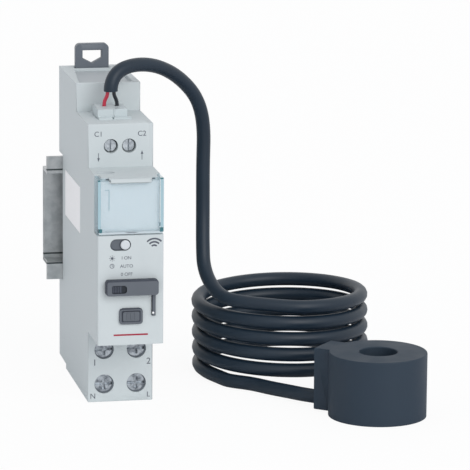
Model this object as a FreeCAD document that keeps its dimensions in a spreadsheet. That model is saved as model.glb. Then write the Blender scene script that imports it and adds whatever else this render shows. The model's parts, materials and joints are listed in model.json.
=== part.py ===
"""Smart contactor of one module width, with its rail clips, a rail stub and a ring current sensor on a cord.

Millimetres. X runs to the right, Y to the back, Z up. The origin is under the middle of the device, on
its base.
"""
import FreeCAD, Part
import math
import os
import Sketcher
from types import SimpleNamespace
from FreeCAD import Placement, Rotation, Vector

doc = FreeCAD.newDocument("SmartContactor")
sheet = doc.addObject("Spreadsheet::Sheet", "Sizes")

SIZES = [
    # Casing
    ("body_width", 17.7, "one module"),
    ("body_height", 84.0, "case, without the clip's tab"),
    ("nose_depth", 60.0, "rail plane to the nose's face"),
    ("face_depth", 44.0, "rail plane to the terminal faces"),
    ("shoulder_depth", 24.0, "rail plane to the upper shoulder"),
    ("back_depth", 6.0, "case behind the rail plane"),
    ("nose_low", 19.5, "underside of the nose"),
    ("nose_height", 45.0, "standard cut-out height"),
    ("block_top", 76.2, "top of the upper terminal block"),
    ("foot_step", 1.5, "step up at the lower clip"),
    ("foot_depth", 6.0, "step's distance in front of the rail plane"),
    ("side_wall", 1.2, "side walls"),
    ("skin", 1.2, "end, face and back walls"),
    ("fascia_thick", 1.8, "front plate"),
    ("edge_round", 0.4, "front plate's edges"),
    ("post_radius", 1.9, "posts between the two halves"),
    ("peg_radius", 0.95, "cover's pegs"),
    ("post_face", 5.0, "posts behind the terminal face and under the top"),
    ("post_under_block", 9.9, "upper front post under the top of the terminal block"),
    ("post_over_foot", 8.5, "lower post over the foot's step"),
    ("post_nose", 14.0, "nose's post behind its face"),
    ("post_nose_rise", 3.7, "nose's post above its lower edge"),
    ("peg_length", 4.5, "cover's pegs"),
    # Clearances
    ("part_gap", 0.3, "between moving pieces"),
    ("fit_gap", 0.1, "round fixed pieces"),
    ("run_gap", 0.05, "round turning shafts"),
    # Rail and clips
    ("rail_low", 24.5, "rail's lower edge"),
    ("rail_height", 35.0, "standard top-hat rail"),
    ("rail_depth", 7.5, "standard top-hat rail"),
    ("rail_hat", 27.0, "outer height of the hat"),
    ("rail_sheet", 1.0, "rail's sheet"),
    ("rail_length", 26.6, "rail stub"),
    ("groove_side_gap", 0.25, "above and below the rail"),
    ("groove_front_gap", 0.2, "in front of the rail"),
    ("clip_width", 9.3, "rail clips"),
    ("clip_thick", 2.2, "rail clips"),
    ("clip_hook", 2.1, "clips' reach behind the rail"),
    ("clip_x", -0.25, "middle of the clips"),
    ("clip_tab", 6.7, "upper clip above the case"),
    ("clip_round", 1.4, "upper clip's corners"),
    ("clip_low", 3.3, "lower end of the lower clip"),
    ("clip_side_gap", 0.25, "beside the clips"),
    ("pry_width", 5.3, "upper clip's hole"),
    ("pry_top", 4.85, "hole's flat top above the case"),
    ("pry_shoulder", 2.65, "start of the hole's point above the case"),
    ("pry_point", 1.25, "hole's lower point above the case"),
    ("pry_slot", 2.0, "lower clip's slot"),
    ("pry_rim", 1.0, "under the lower clip's slot"),
    # Label window
    ("window_low", 49.4, "window's lower edge"),
    ("window_side", 0.9, "window's cheeks"),
    ("window_wall", 1.0, "window's front"),
    ("window_cheek", 5.5, "window's wrap onto the sides"),
    ("hinge_drop", 2.1, "hinge axis behind the face and above the lower edge"),
    ("pin_radius", 0.5, "hinge pins"),
    ("card_thick", 0.25, "label card"),
    ("seat_wall", 1.0, "label seat"),
    ("ledge_width", 11.6, "finger ledge, along its top"),
    ("ledge_narrow", 10.2, "finger ledge, along its foot"),
    ("ledge_height", 1.0, "finger ledge"),
    ("ledge_out", 1.25, "finger ledge in front of its seat"),
    # Side label
    ("label_back", 5.0, "label's rear edge in front of the rail plane"),
    ("label_length", 25.8, "along the case"),
    ("label_low", 43.9, "label's lower edge"),
    ("label_height", 12.7, "label"),
    ("label_thick", 0.12, "label"),
    # Toggle
    ("toggle_x", -2.7, "middle of the toggle"),
    ("toggle_drop", 2.5, "middle of the toggle under the front plate's upper edge"),
    ("toggle_length", 5.55, "pill-shaped opening"),
    ("toggle_height", 3.15, "pill-shaped opening"),
    ("toggle_inset", 0.5, "switch's face behind the front"),
    ("knob_radius", 1.4, "round knob"),
    ("knob_thick", 0.5, "round knob"),
    ("toggle_stem", 0.6, "knob's square stem"),
    # Selector
    ("bar_left", 6.9, "bar's reach to the left"),
    ("bar_right", 7.2, "bar's reach to the right"),
    ("bar_low", 33.25, "bar's lower edge"),
    ("bar_height", 4.2, "bar"),
    ("bar_stand", 2.3, "bar's front before the nose's face"),
    ("bar_corner", 0.9, "bar's corners"),
    ("bar_edge", 0.35, "bar's front edges"),
    ("bar_window_left", 5.2, "dark window's reach to the left"),
    ("bar_window_width", 4.3, "dark window"),
    ("bar_window_rise", 0.7, "dark window above the bar's lower edge"),
    ("bar_window_height", 2.2, "dark window"),
    ("bar_window_deep", 0.5, "dark window"),
    ("bar_travel", 4.2, "two steps of the legend's pitch"),
    ("tail_x", 6.15, "middle of the tail"),
    ("tail_width", 0.9, "tail in front of the face"),
    ("tail_low", 27.35, "tail's lower end"),
    ("stem_width", 0.7, "stem in the slot"),
    ("stem_height", 4.4, "stem in the slot"),
    ("carriage_width", 2.7, "carriage behind the front plate"),
    ("carriage_thick", 1.6, "carriage behind the front plate"),
    ("wiper_sheet", 0.25, "selector's contact leaf"),
    ("wiper_in", 0.7, "contact leaf above the carriage's lower edge"),
    ("wiper_height", 3.0, "contact leaf on the carriage"),
    ("wiper_rise", 2.5, "contact leaf's free end above its lower edge"),
    ("wiper_touch", 0.6, "contact leaf's free end"),
    ("wiper_root", 0.9, "contact leaf's bend"),
    # Pair button
    ("button_x", 0.05, "middle of the button"),
    ("button_z", 27.35, "middle of the button"),
    ("bezel_width", 6.3, "bezel"),
    ("bezel_height", 4.35, "bezel"),
    ("bezel_corner", 1.1, "bezel's corners"),
    ("bezel_stand", 0.5, "bezel in front of the face"),
    ("sleeve_wall", 0.3, "bezel's sleeve"),
    ("sleeve_reach", 0.2, "sleeve behind the front plate"),
    ("key_width", 4.4, "key"),
    ("key_height", 2.5, "key"),
    ("key_corner", 0.35, "key's corners"),
    ("key_stand", 0.8, "key in front of the face"),
    ("key_flange", 0.5, "key's retaining flange"),
    ("key_plunger", 0.8, "radius of the key's plunger"),
    ("rib_width", 0.3, "key's ribs"),
    ("rib_stand", 0.15, "key's ribs"),
    ("rib_length", 1.8, "key's ribs"),
    ("rib_pitch", 1.0, "key's ribs"),
    ("switch_width", 4.4, "push switch"),
    ("switch_depth", 2.0, "push switch"),
    # Boards
    ("board_thick", 1.6, "both boards"),
    ("front_board_depth", 54.0, "front board's face before the rail plane"),
    ("board_gap", 0.2, "beside the boards"),
    ("main_board_x", 5.2, "main board's left face"),
    ("main_board_low", 26.0, "main board's lower edge"),
    ("main_board_high", 62.5, "main board's upper edge"),
    ("main_board_back", 2.2, "main board's rear edge before the rail plane"),
    ("parts_drop", 0.5, "upper parts below the main board's upper edge"),
    ("parts_room", 2.4, "front parts behind the front board"),
    ("parts_gap", 2.0, "between the upper parts"),
    ("light_x", 3.8, "status light"),
    ("light_z", 41.6, "status light"),
    ("light_size", 1.6, "status light"),
    ("light_thick", 1.0, "status light"),
    ("radio_thick", 2.8, "radio can"),
    ("radio_length", 13.0, "radio can, front to back"),
    ("radio_height", 18.0, "radio can"),
    ("radio_rise", 4.0, "radio can above the main board's lower edge"),
    ("can_round", 0.6, "radio can's edges"),
    ("chip_thick", 1.2, "metering chip"),
    ("chip_length", 4.8, "metering chip, front to back"),
    ("chip_height", 6.0, "metering chip"),
    ("chip_in", 0.6, "metering chip before the main board's rear edge"),
    ("chip_rise", 8.0, "metering chip above the main board's lower edge"),
    ("film_thick", 5.8, "suppression capacitor"),
    ("film_length", 11.5, "suppression capacitor, front to back"),
    ("film_height", 11.8, "suppression capacitor"),
    ("film_round", 0.7, "suppression capacitor's edges"),
    ("bulk_radius", 4.0, "bulk capacitor"),
    ("bulk_height", 10.8, "bulk capacitor"),
    ("bulk_gap", 3.0, "bulk capacitor behind the transformer"),
    ("iron_width", 10.8, "transformer's core"),
    ("iron_length", 13.5, "transformer's core, front to back"),
    ("iron_tall", 10.8, "transformer's core"),
    ("iron_yoke", 2.5, "transformer's yokes"),
    ("iron_limb", 1.6, "transformer's outer limbs"),
    ("iron_winding", 4.6, "radius of the transformer's winding"),
    # Lower terminals
    ("cell_x", 4.4, "terminal's distance from the middle"),
    ("front_cell_z", 4.95, "lower screws"),
    ("rear_cell_z", 14.5, "upper screws"),
    ("front_bar_depth", 33.4, "lower bars' faces before the rail plane"),
    ("rear_bar_depth", 21.4, "upper bars' faces before the rail plane"),
    ("head_radius", 2.5, "screw head"),
    ("head_height", 2.2, "screw head"),
    ("head_sink", 0.7, "screw head behind the face"),
    ("head_gap", 0.15, "round the screw head"),
    ("shank_radius", 2.0, "screw shank"),
    ("drive_width", 0.8, "slot and cross in the head"),
    ("drive_deep", 1.0, "slot and cross in the head"),
    ("cross_height", 3.2, "upright arms of the cross in the head"),
    ("collar_radius", 3.2, "round the screw holes"),
    ("collar_floor", 1.0, "collar's floor under the head"),
    ("cage_width", 5.8, "clamp cage"),
    ("cage_height", 6.4, "clamp cage"),
    ("cage_wall", 0.8, "clamp cage"),
    ("cage_nut", 1.2, "clamp cage's threaded wall"),
    ("wire_space", 4.4, "open clamp"),
    ("terminal_bar_width", 3.6, "terminal bar"),
    ("terminal_bar_thick", 1.0, "terminal bar"),
    ("wire_hole", 4.6, "wire entries"),
    ("divider_thick", 1.2, "wall between the cells"),
    ("divider_room", 0.4, "wall between the cells above the upper cages"),
    ("partition_gap", 2.0, "wall behind the open lower cages"),
    ("partition_room", 3.0, "wall behind the lower cages, under the upper screws"),
    ("rear_wall_gap", 1.6, "wall behind the open upper cages"),
    ("strip_width", 1.4, "supply bars' strips to the main board"),
    ("feed_rise", 3.2, "left supply bar's strip above the main board's lower edge"),
    ("bridge_height", 0.8, "supply bars' bridges beside their tongues"),
    # Sensor terminals
    ("small_left_x", -2.6, "left small screw"),
    ("small_right_x", 2.3, "right small screw"),
    ("small_z", 70.15, "small screws"),
    ("small_head_radius", 1.57, "small screw head"),
    ("small_head_height", 1.4, "small screw head"),
    ("small_head_sink", 1.2, "small screw head behind the face"),
    ("small_head_gap", 0.38, "round the small screw head"),
    ("small_slot", 0.48, "small screw's slot"),
    ("small_shank_radius", 1.0, "small screw shank"),
    ("small_shank_length", 9.7, "small screw shank"),
    ("small_cage_width", 2.6, "small cage"),
    ("small_cage_height", 2.8, "small cage"),
    ("small_cage_depth", 3.6, "small cage"),
    ("small_cage_in", 14.7, "small cage's rear face behind the terminal face"),
    ("small_cage_wall", 0.25, "small cage"),
    ("small_nut", 0.6, "small cage's threaded wall"),
    ("block_left", 4.8, "white block's reach to the left"),
    ("block_right", 4.0, "white block's reach to the right inside the case"),
    ("block_neck", 3.3, "white block's reach to the right above the case"),
    ("block_in", 8.2, "white block's front behind the terminal face"),
    ("block_depth", 8.6, "white block"),
    ("block_low", 66.2, "white block's foot"),
    ("block_stand", 2.6, "white block above the case"),
    ("groove_x", -0.3, "groove between the white block's two ways"),
    ("groove_wide", 0.3, "groove between the white block's two ways"),
    ("groove_deep", 0.4, "groove between the white block's two ways"),
    ("core_hole", 0.75, "radius of the cores' entries"),
    ("core_in", 13.2, "cores behind the terminal face"),
    ("left_core_x", -2.25, "red core's entry"),
    ("right_core_x", 1.25, "black core's entry"),
    # Contactor drive
    ("drive_x", -1.2, "middle of the coil"),
    ("drive_depth", 14.5, "middle of the coil before the rail plane"),
    ("drive_low", 26.3, "underside of the yoke"),
    ("yoke_thick", 1.5, "yoke"),
    ("yoke_width", 8.0, "yoke"),
    ("yoke_height", 22.3, "yoke"),
    ("core_radius", 2.2, "core"),
    ("pole_radius", 3.6, "core's pole face"),
    ("pole_thick", 1.0, "core's pole face"),
    ("pole_gap", 0.9, "open armature above the pole"),
    ("bobbin_flange", 10.0, "bobbin"),
    ("bobbin_sheet", 0.8, "bobbin"),
    ("winding_radius", 4.6, "winding"),
    ("armature_thick", 1.2, "armature"),
    ("armature_tail", 9.9, "armature's tail below its plate"),
    ("armature_short", 0.9, "armature before the bobbin's rear edge"),
    ("tail_gap", 1.2, "armature's tail before the yoke"),
    ("pusher_z", 40.2, "pusher's underside"),
    ("pusher_height", 2.5, "pusher"),
    ("pusher_length", 3.7, "pusher"),
    ("pusher_over", 0.6, "pusher past the left contact's middle"),
    ("leaf_thick", 0.3, "moving contact leaf"),
    ("leaf_width", 3.6, "moving contact leaf"),
    ("leaf_foot", 23.6, "moving contact leaf's lower edge"),
    ("leaf_top", 44.2, "moving contact leaf's upper edge"),
    ("contact_radius", 1.5, "contact rivets"),
    ("contact_z", 38.2, "contact rivets"),
    ("contact_thick", 0.5, "moving contact rivet"),
    ("contact_open", 0.5, "open contacts"),
    ("fixed_thick", 0.3, "fixed contact rivet"),
    ("leaf_base", 1.8, "moving contact leaf's cross strip"),
    ("link_gap", 1.5, "terminal bars' level run above the cells' walls"),
    # Cord and sensor
    ("cord_diameter", 3.85, "sheathed cord"),
    ("core_diameter", 1.0, "cores"),
    ("core_apart", 0.85, "each core's distance from the sheath's middle"),
    ("coil_x", 49.67, "middle of the coil"),
    ("coil_behind", -16.5, "middle of the coil behind the rail plane"),
    ("coil_radius", 22.65, "cord's middle line in the coil"),
    ("coil_top", 23.2, "cord's middle line where the coil starts"),
    ("coil_lean", 0.4, "each turn's shift to the front"),
    ("ring_x", 65.2, "middle of the sensor ring"),
    ("ring_behind", -69.8, "middle of the sensor ring behind the rail plane"),
    ("ring_radius", 13.15, "sensor ring"),
    ("ring_height", 17.4, "sensor ring"),
    ("ring_bore", 5.1, "sensor ring's hole, radius"),
    ("ring_wall", 1.2, "sensor ring's walls"),
    ("neck_width", 10.0, "sensor ring's neck"),
    ("neck_reach", 16.6, "neck's end from the ring's middle"),
    ("neck_low", 0.5, "neck's underside"),
    ("neck_turn", 140.3, "neck's direction seen from above, degrees from X"),
    ("entry_z", 2.7, "cord's middle line at the neck"),
    ("iron_inner", 7.4, "sensor's core, inner radius"),
    ("iron_outer", 10.8, "sensor's core, outer radius"),
    ("iron_low", 4.2, "sensor's core, underside"),
    ("iron_height", 8.8, "sensor's core"),
    ("wound_thick", 0.7, "sensor's winding"),
]


class Size:
    """A length that is both an expression on the sheet and its number."""

    def __init__(self, text, number):
        self.text = text
        self.number = number

    def join(self, other, sign, number):
        return Size("(%s %s %s)" % (self.text, sign, as_size(other).text), number)

    def __add__(self, other):
        return self.join(other, "+", self.number + as_size(other).number)

    def __sub__(self, other):
        return self.join(other, "-", self.number - as_size(other).number)

    def __mul__(self, other):
        return self.join(other, "*", self.number * as_size(other).number)

    def __truediv__(self, other):
        return self.join(other, "/", self.number / as_size(other).number)

    def __neg__(self):
        return Size("(0 - %s)" % self.text, -self.number)

    def __float__(self):
        return float(self.number)


def as_size(value):
    """Plain numbers join in as themselves."""
    return value if isinstance(value, Size) else Size(repr(float(value)), float(value))


for row, (alias, number, meaning) in enumerate(SIZES, 1):
    sheet.set("A%d" % row, meaning)
    sheet.set("B%d" % row, str(number))
    sheet.setAlias("B%d" % row, alias)
doc.recompute()
s = SimpleNamespace(**{alias: Size("Sizes." + alias, number) for alias, number, meaning in SIZES})

# Places that several pieces share
rail_y = (s.nose_depth + s.bar_stand - s.rail_depth) / 2
half = s.body_width / 2
inner = half - s.side_wall
nose_top = s.nose_low + s.nose_height
rail_high = s.rail_low + s.rail_height
fascia_top = s.window_low - s.part_gap
toggle_z = fascia_top - s.toggle_drop


def before(depth):
    """Y of a place this far in front of the rail plane."""
    return rail_y - depth


def behind(depth):
    """Y of a place this far behind the rail plane."""
    return rail_y + depth


nose_y = before(s.nose_depth)
face_y = before(s.face_depth)
plate_y = before(s.nose_depth - s.fascia_thick)
seat_y = nose_y + s.window_wall + s.part_gap + s.card_thick
block_front = face_y + s.block_in
block_back = block_front + s.block_depth
small_cage_back = face_y + s.small_cage_in
core_y = face_y + s.core_in
board_y = before(s.front_board_depth)


def bind(thing, path, value):
    """Tie one property to the sheet."""
    thing.setExpression(path, as_size(value).text)


def place(thing, x, y, z):
    """Tie a primitive's place to the sheet."""
    for axis, value in zip("xyz", (x, y, z)):
        bind(thing, "Placement.Base." + axis, value)
    return thing


def block(name, xs, ys, zs):
    """A box between two places on each axis."""
    thing = doc.addObject("Part::Box", name)
    for path, (low, high) in zip(("Length", "Width", "Height"), (xs, ys, zs)):
        bind(thing, path, as_size(high) - low)
    return place(thing, xs[0], ys[0], zs[0])


def rod(name, axis, radius, centre, span):
    """A cylinder along X, Y or Z; centre holds its two other coordinates."""
    thing = doc.addObject("Part::Cylinder", name)
    turn = {"X": Rotation(Vector(0, 1, 0), 90), "Y": Rotation(Vector(1, 0, 0), -90), "Z": Rotation()}
    thing.Placement = Placement(Vector(), turn[axis])
    bind(thing, "Radius", radius)
    bind(thing, "Height", as_size(span[1]) - span[0])
    start = list(centre)
    start.insert("XYZ".index(axis), span[0])
    return place(thing, *start)


def fuse(name, *things):
    """Several solids joined into one piece."""
    thing = doc.addObject("Part::MultiFuse", name)
    thing.Shapes = list(things)
    thing.Refine = True
    return thing


def cut(name, base, *tools):
    """A piece with one or more tools taken away."""
    thing = doc.addObject("Part::Cut", name)
    thing.Base = base
    thing.Tool = tools[0] if len(tools) == 1 else fuse(name + "_tools", *tools)
    return thing


def common(name, *things):
    """What several solids share."""
    thing = doc.addObject("Part::MultiCommon", name)
    thing.Shapes = list(things)
    return thing


def outline(body, name, plane, points, offset):
    """A closed sketch of straight lines whose corners are tied to the sheet."""
    sketch = body.newObject("Sketcher::SketchObject", name)
    support = [feature for feature in body.Origin.OriginFeatures if feature.Role == plane + "_Plane"]
    sketch.AttachmentSupport = [(support[0], "")]
    sketch.MapMode = "FlatFace"
    bind(sketch, "AttachmentOffset.Base.z", offset)
    corners = [Vector(float(across), float(up), 0) for across, up in points]
    for index, corner in enumerate(corners):
        sketch.addGeometry(Part.LineSegment(corner, corners[(index + 1) % len(corners)]), False)
    for index in range(len(corners)):
        sketch.addConstraint(Sketcher.Constraint("Coincident", index, 2, (index + 1) % len(corners), 1))
    for index, corner in enumerate(points):
        for kind, value in zip(("DistanceX", "DistanceY"), corner):
            constraint = Sketcher.Constraint(kind, -1, 1, index, 1, float(value))
            bind(sketch, "Constraints[%d]" % sketch.addConstraint(constraint), value)
    return sketch


def prism(name, plane, points, low, high):
    """A body with one pad between two places along the plane's normal."""
    body = doc.addObject("PartDesign::Body", name)
    start = -as_size(high) if plane == "XZ" else low
    pad_sketch = outline(body, name + "_sketch", plane, points, start)
    pad = body.newObject("PartDesign::Pad", name + "_pad")
    pad.Profile = pad_sketch
    bind(pad, "Length", as_size(high) - low)
    pad_sketch.Visibility = False
    return body


def pocket(body, name, plane, points, place_on, depth):
    """Cut an outline out of a body, against the plane's normal, and make sure that it cuts."""
    doc.recompute()
    volume = body.Shape.Volume
    pocket_sketch = outline(body, name + "_sketch", plane, points, place_on)
    feature = body.newObject("PartDesign::Pocket", name)
    feature.Profile = pocket_sketch
    bind(feature, "Length", depth)
    doc.recompute()
    if body.Shape.Volume >= volume:
        raise ValueError(name + " cuts nothing")
    return feature


def rounding(body, name, axis, radius, keep=lambda middle: True):
    """Round the straight edges of a body's tip that run along an axis."""
    doc.recompute()
    tip = body.Tip
    chosen = []
    for index, edge in enumerate(tip.Shape.Edges, 1):
        if edge.Curve.TypeId != "Part::GeomLine":
            continue
        if abs(edge.tangentAt(edge.FirstParameter).dot(axis)) > 0.99 and keep(edge.CenterOfMass):
            chosen.append("Edge%d" % index)
    feature = body.newObject("PartDesign::Fillet", name)
    feature.Base = (tip, chosen)
    bind(feature, "Radius", radius)
    body.Tip = feature
    return feature


def rectangle(low, high, bottom, top):
    """The four corners of an upright rectangle."""
    return [(low, bottom), (high, bottom), (high, top), (low, top)]


nodes = []


def piece(label, thing):
    """Name a finished piece; its label names its file."""
    thing.Label = label
    nodes.append(thing)
    return thing


ALONG_X = Vector(1, 0, 0)
ALONG_Y = Vector(0, 1, 0)
ALONG_Z = Vector(0, 0, 1)


# Casing
def case_profile():
    """The side view shared by the tub and the cover, without the front plate."""
    groove_y = before(s.groove_front_gap)
    back_y = behind(s.back_depth)
    notch_y = nose_y + s.window_cheek + s.part_gap
    return [
        (face_y, 0), (before(s.foot_depth), 0), (before(s.foot_depth), s.foot_step), (back_y, s.foot_step),
        (back_y, s.rail_low - s.groove_side_gap), (groove_y, s.rail_low - s.groove_side_gap),
        (groove_y, rail_high + s.groove_side_gap), (back_y, rail_high + s.groove_side_gap),
        (back_y, s.body_height), (before(s.shoulder_depth), s.body_height),
        (before(s.shoulder_depth), s.block_top), (face_y, s.block_top), (face_y, nose_top),
        (notch_y, nose_top), (notch_y, fascia_top), (plate_y, fascia_top), (plate_y, s.nose_low),
        (face_y, s.nose_low),
    ]


def hollow_profile():
    """The room inside the tub, open at the front of the nose."""
    front_y = face_y + s.skin
    groove_y = before(s.groove_front_gap) - s.skin
    step_y = before(s.foot_depth) - s.skin
    shoulder_y = before(s.shoulder_depth) + s.skin
    open_y = nose_y - s.skin
    return [
        (front_y, s.skin), (step_y, s.skin), (step_y, s.foot_step + s.skin), (rail_y, s.foot_step + s.skin),
        (rail_y, s.rail_low - s.groove_side_gap - s.skin), (groove_y, s.rail_low - s.groove_side_gap - s.skin),
        (groove_y, rail_high + s.groove_side_gap + s.skin), (rail_y, rail_high + s.groove_side_gap + s.skin),
        (rail_y, s.body_height - s.skin), (shoulder_y, s.body_height - s.skin),
        (shoulder_y, s.block_top - s.skin),
        (front_y, s.block_top - s.skin), (front_y, nose_top - s.skin), (open_y, nose_top - s.skin),
        (open_y, s.nose_low + s.skin), (front_y, s.nose_low + s.skin),
    ]


# The cover's posts: behind the terminal face, under the top, over the foot and in the nose
POSTS = [
    (face_y + s.post_face, s.block_top - s.post_under_block),
    (before(s.shoulder_depth / 2), s.body_height - s.post_face),
    (before(s.foot_depth), s.foot_step + s.post_over_foot),
    (nose_y + s.post_nose, s.nose_low + s.post_nose_rise),
]
# A lower terminal: name, side, screw height, bar depth
CELLS = [
    ("n", -1, s.front_cell_z, s.front_bar_depth),
    ("l", 1, s.front_cell_z, s.front_bar_depth),
    ("1", -1, s.rear_cell_z, s.rear_bar_depth),
    ("2", 1, s.rear_cell_z, s.rear_bar_depth),
]
# A sensor terminal: name, screw place
SMALL_CELLS = [("c1", s.small_left_x), ("c2", s.small_right_x)]
# A core: name, place of its entry
CORES = [("red", s.left_core_x), ("black", s.right_core_x)]
bore_end = face_y + s.head_sink + s.head_height + s.fit_gap * 2
small_front = face_y + s.small_head_sink
small_bore_end = small_front + s.small_head_height + s.fit_gap * 2
small_bore = s.small_head_radius + s.small_head_gap
channel_front = behind(s.rail_sheet)
channel_back = channel_front + s.clip_thick + s.part_gap * 2
channel_half = s.clip_width / 2 + s.clip_side_gap
small_room_top = s.small_z + s.small_cage_height / 2 + s.part_gap
divider_top = s.rear_cell_z + s.cage_height / 2 + s.divider_room
partition_top = s.rear_cell_z - s.shank_radius - s.partition_room
link_low = divider_top + s.link_gap


def wire_room(bar_depth):
    """Front and back of the free space behind a terminal bar in its open clamp."""
    start = before(bar_depth) + s.terminal_bar_thick
    return start, start + s.wire_space


def cage_end(bar_depth):
    """Rear face of an open clamp cage."""
    return wire_room(bar_depth)[1] + s.cage_wall


def make_tub():
    """Left half: side wall, ends, rail groove, terminal cells, screw collars and posts."""
    shell = prism("tub_shell", "YZ", case_profile(), -half, inner)
    pocket(shell, "tub_room", "YZ", hollow_profile(), inner, inner * 2)
    front_wall = face_y + s.skin
    partition_y = cage_end(s.front_bar_depth) + s.partition_gap
    rear_wall_y = cage_end(s.rear_bar_depth) + s.rear_wall_gap
    adds = [
        block("divider", (-s.divider_thick / 2, s.divider_thick / 2), (front_wall, rear_wall_y + s.skin),
              (s.skin, divider_top)),
        block("partition", (-inner, inner), (partition_y, partition_y + s.skin), (s.skin, partition_top)),
        block("rear_wall", (-inner, inner), (rear_wall_y, rear_wall_y + s.skin), (s.skin, divider_top)),
    ]
    tools = []
    for name, side, screw_z, bar_depth in CELLS:
        centre = (s.cell_x * side, screw_z)
        adds.append(rod("collar_" + name, "Y", s.collar_radius, centre,
                        (front_wall, bore_end + s.collar_floor)))
        tools.append(rod("bore_" + name, "Y", s.head_radius + s.head_gap, centre, (nose_y, bore_end)))
        tools.append(rod("shank_hole_" + name, "Y", s.shank_radius + s.head_gap, centre,
                         (nose_y, bore_end + s.collar_floor * 2)))
        room = wire_room(bar_depth)
        tools.append(block("wire_hole_" + name,
                           (s.cell_x * side - s.wire_hole / 2, s.cell_x * side + s.wire_hole / 2),
                           (room[0] - s.fit_gap, room[1] + s.fit_gap), (-s.skin, s.skin * 2)))
    for name, screw_x in SMALL_CELLS:
        centre = (screw_x, s.small_z)
        adds.append(rod("collar_" + name, "Y", small_bore + s.skin / 2, centre,
                        (front_wall, small_bore_end + s.collar_floor)))
        tools.append(rod("bore_" + name, "Y", small_bore, centre, (nose_y, small_bore_end)))
        tools.append(rod("shank_hole_" + name, "Y", s.small_shank_radius + s.head_gap, centre,
                         (nose_y, small_bore_end + s.collar_floor * 2)))
    for index, (post_y, post_z) in enumerate(POSTS):
        adds.append(rod("post%d" % index, "X", s.post_radius, (post_y, post_z), (-inner, inner)))
        tools.append(rod("peg_hole%d" % index, "X", s.peg_radius + s.run_gap, (post_y, post_z),
                         (inner - s.peg_length - s.part_gap, inner + s.skin)))
    tools.append(block("block_hole", (-s.block_left - s.fit_gap, s.block_neck + s.fit_gap),
                       (block_front - s.fit_gap, block_back + s.fit_gap),
                       (s.block_top - s.skin * 2, s.block_top + s.skin)))
    for name, low, high in (("lower", -s.skin, s.rail_low), ("upper", rail_high, s.body_height + s.skin)):
        tools.append(block(name + "_channel", (s.clip_x - channel_half, s.clip_x + channel_half),
                           (channel_front, channel_back), (low, high)))
    tools.append(block("label_bed", (-half - s.label_thick, -half + s.label_thick),
                       (before(s.label_back + s.label_length) - s.fit_gap, before(s.label_back) + s.fit_gap),
                       (s.label_low - s.fit_gap, s.label_low + s.label_height + s.fit_gap)))
    piece("housing_tub", cut("tub", fuse("tub_blank", shell, *adds), *tools))


def make_cover():
    """Right half: the same side view as a plate, with four pegs."""
    plate = prism("cover_plate", "YZ", case_profile(), inner, half)
    pegs = [rod("peg%d" % index, "X", s.peg_radius, post, (inner - s.peg_length, inner))
            for index, post in enumerate(POSTS)]
    piece("side_cover", fuse("cover", plate, *pegs))


def make_side_label():
    """The blank label on the left side, level with the wall."""
    piece("side_label", block("side_label_sheet", (-half, -half + s.label_thick),
                              (before(s.label_back + s.label_length), before(s.label_back)),
                              (s.label_low, s.label_low + s.label_height)))


slot_half = s.stem_width / 2 + 0.2
slot_low = s.tail_low
stem_low = slot_low + s.part_gap
sleeve_width = s.key_width + (s.part_gap + s.sleeve_wall) * 2
sleeve_height = s.key_height + (s.part_gap + s.sleeve_wall) * 2
seat_half = inner - s.fit_gap
seat_low = s.window_low + s.hinge_drop - 0.6
seat_back = nose_y + s.window_cheek + s.part_gap - s.fit_gap
hinge_y = nose_y + s.hinge_drop
hinge_z = s.window_low + s.hinge_drop


def make_fascia():
    """Front plate with its openings, and the label seat above it."""
    plate = prism("plate", "XZ", rectangle(-half, half, s.nose_low, fascia_top), nose_y, plate_y)
    rounding(plate, "plate_sides", ALONG_Z, s.edge_round, lambda middle: middle.y < float(plate_y) - 0.5)
    riser_y = hinge_y + s.hinge_drop
    seat = prism("seat", "YZ", [
        (plate_y, fascia_top - s.skin), (riser_y + s.seat_wall, fascia_top - s.skin),
        (riser_y + s.seat_wall, seat_low + s.seat_wall), (seat_y + s.seat_wall, seat_low + s.seat_wall),
        (seat_y + s.seat_wall, nose_top - s.skin), (seat_back, nose_top - s.skin), (seat_back, nose_top),
        (seat_y, nose_top), (seat_y, seat_low), (riser_y, seat_low), (riser_y, fascia_top),
        (plate_y, fascia_top),
    ], -seat_half, seat_half)
    cheeks = []
    for side, low in (("left", -seat_half), ("right", seat_half - s.seat_wall)):
        high = low + s.seat_wall
        cheeks.append(block(side + "_cheek", (low, high), (seat_y, seat_back), (seat_low, nose_top)))
        cheeks.append(block(side + "_tongue", (low, high), (seat_back, seat_back + s.seat_wall * 2),
                            (seat_low, nose_top - s.skin - s.fit_gap)))
    ledge = prism("ledge", "XZ", [
        (-s.ledge_narrow / 2, nose_top - s.ledge_height), (s.ledge_narrow / 2, nose_top - s.ledge_height),
        (s.ledge_width / 2, nose_top), (-s.ledge_width / 2, nose_top),
    ], seat_y - s.ledge_out, seat_y)
    end_radius = s.toggle_height / 2
    end_shift = s.toggle_length / 2 - end_radius
    through = (nose_y - s.skin, plate_y + s.skin)
    tools = [
        block("pill_middle", (s.toggle_x - end_shift, s.toggle_x + end_shift), through,
              (toggle_z - end_radius, toggle_z + end_radius)),
        rod("pill_left", "Y", end_radius, (s.toggle_x - end_shift, toggle_z), through),
        rod("pill_right", "Y", end_radius, (s.toggle_x + end_shift, toggle_z), through),
        block("button_hole",
              (s.button_x - sleeve_width / 2 - s.fit_gap, s.button_x + sleeve_width / 2 + s.fit_gap), through,
              (s.button_z - sleeve_height / 2 - s.fit_gap, s.button_z + sleeve_height / 2 + s.fit_gap)),
        block("selector_slot", (s.tail_x - slot_half, s.tail_x + slot_half), through,
              (slot_low, stem_low + s.stem_height + s.bar_travel + s.part_gap)),
    ]
    piece("front_fascia", cut("fascia", fuse("fascia_blank", plate, seat, ledge, *cheeks), *tools))


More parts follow.
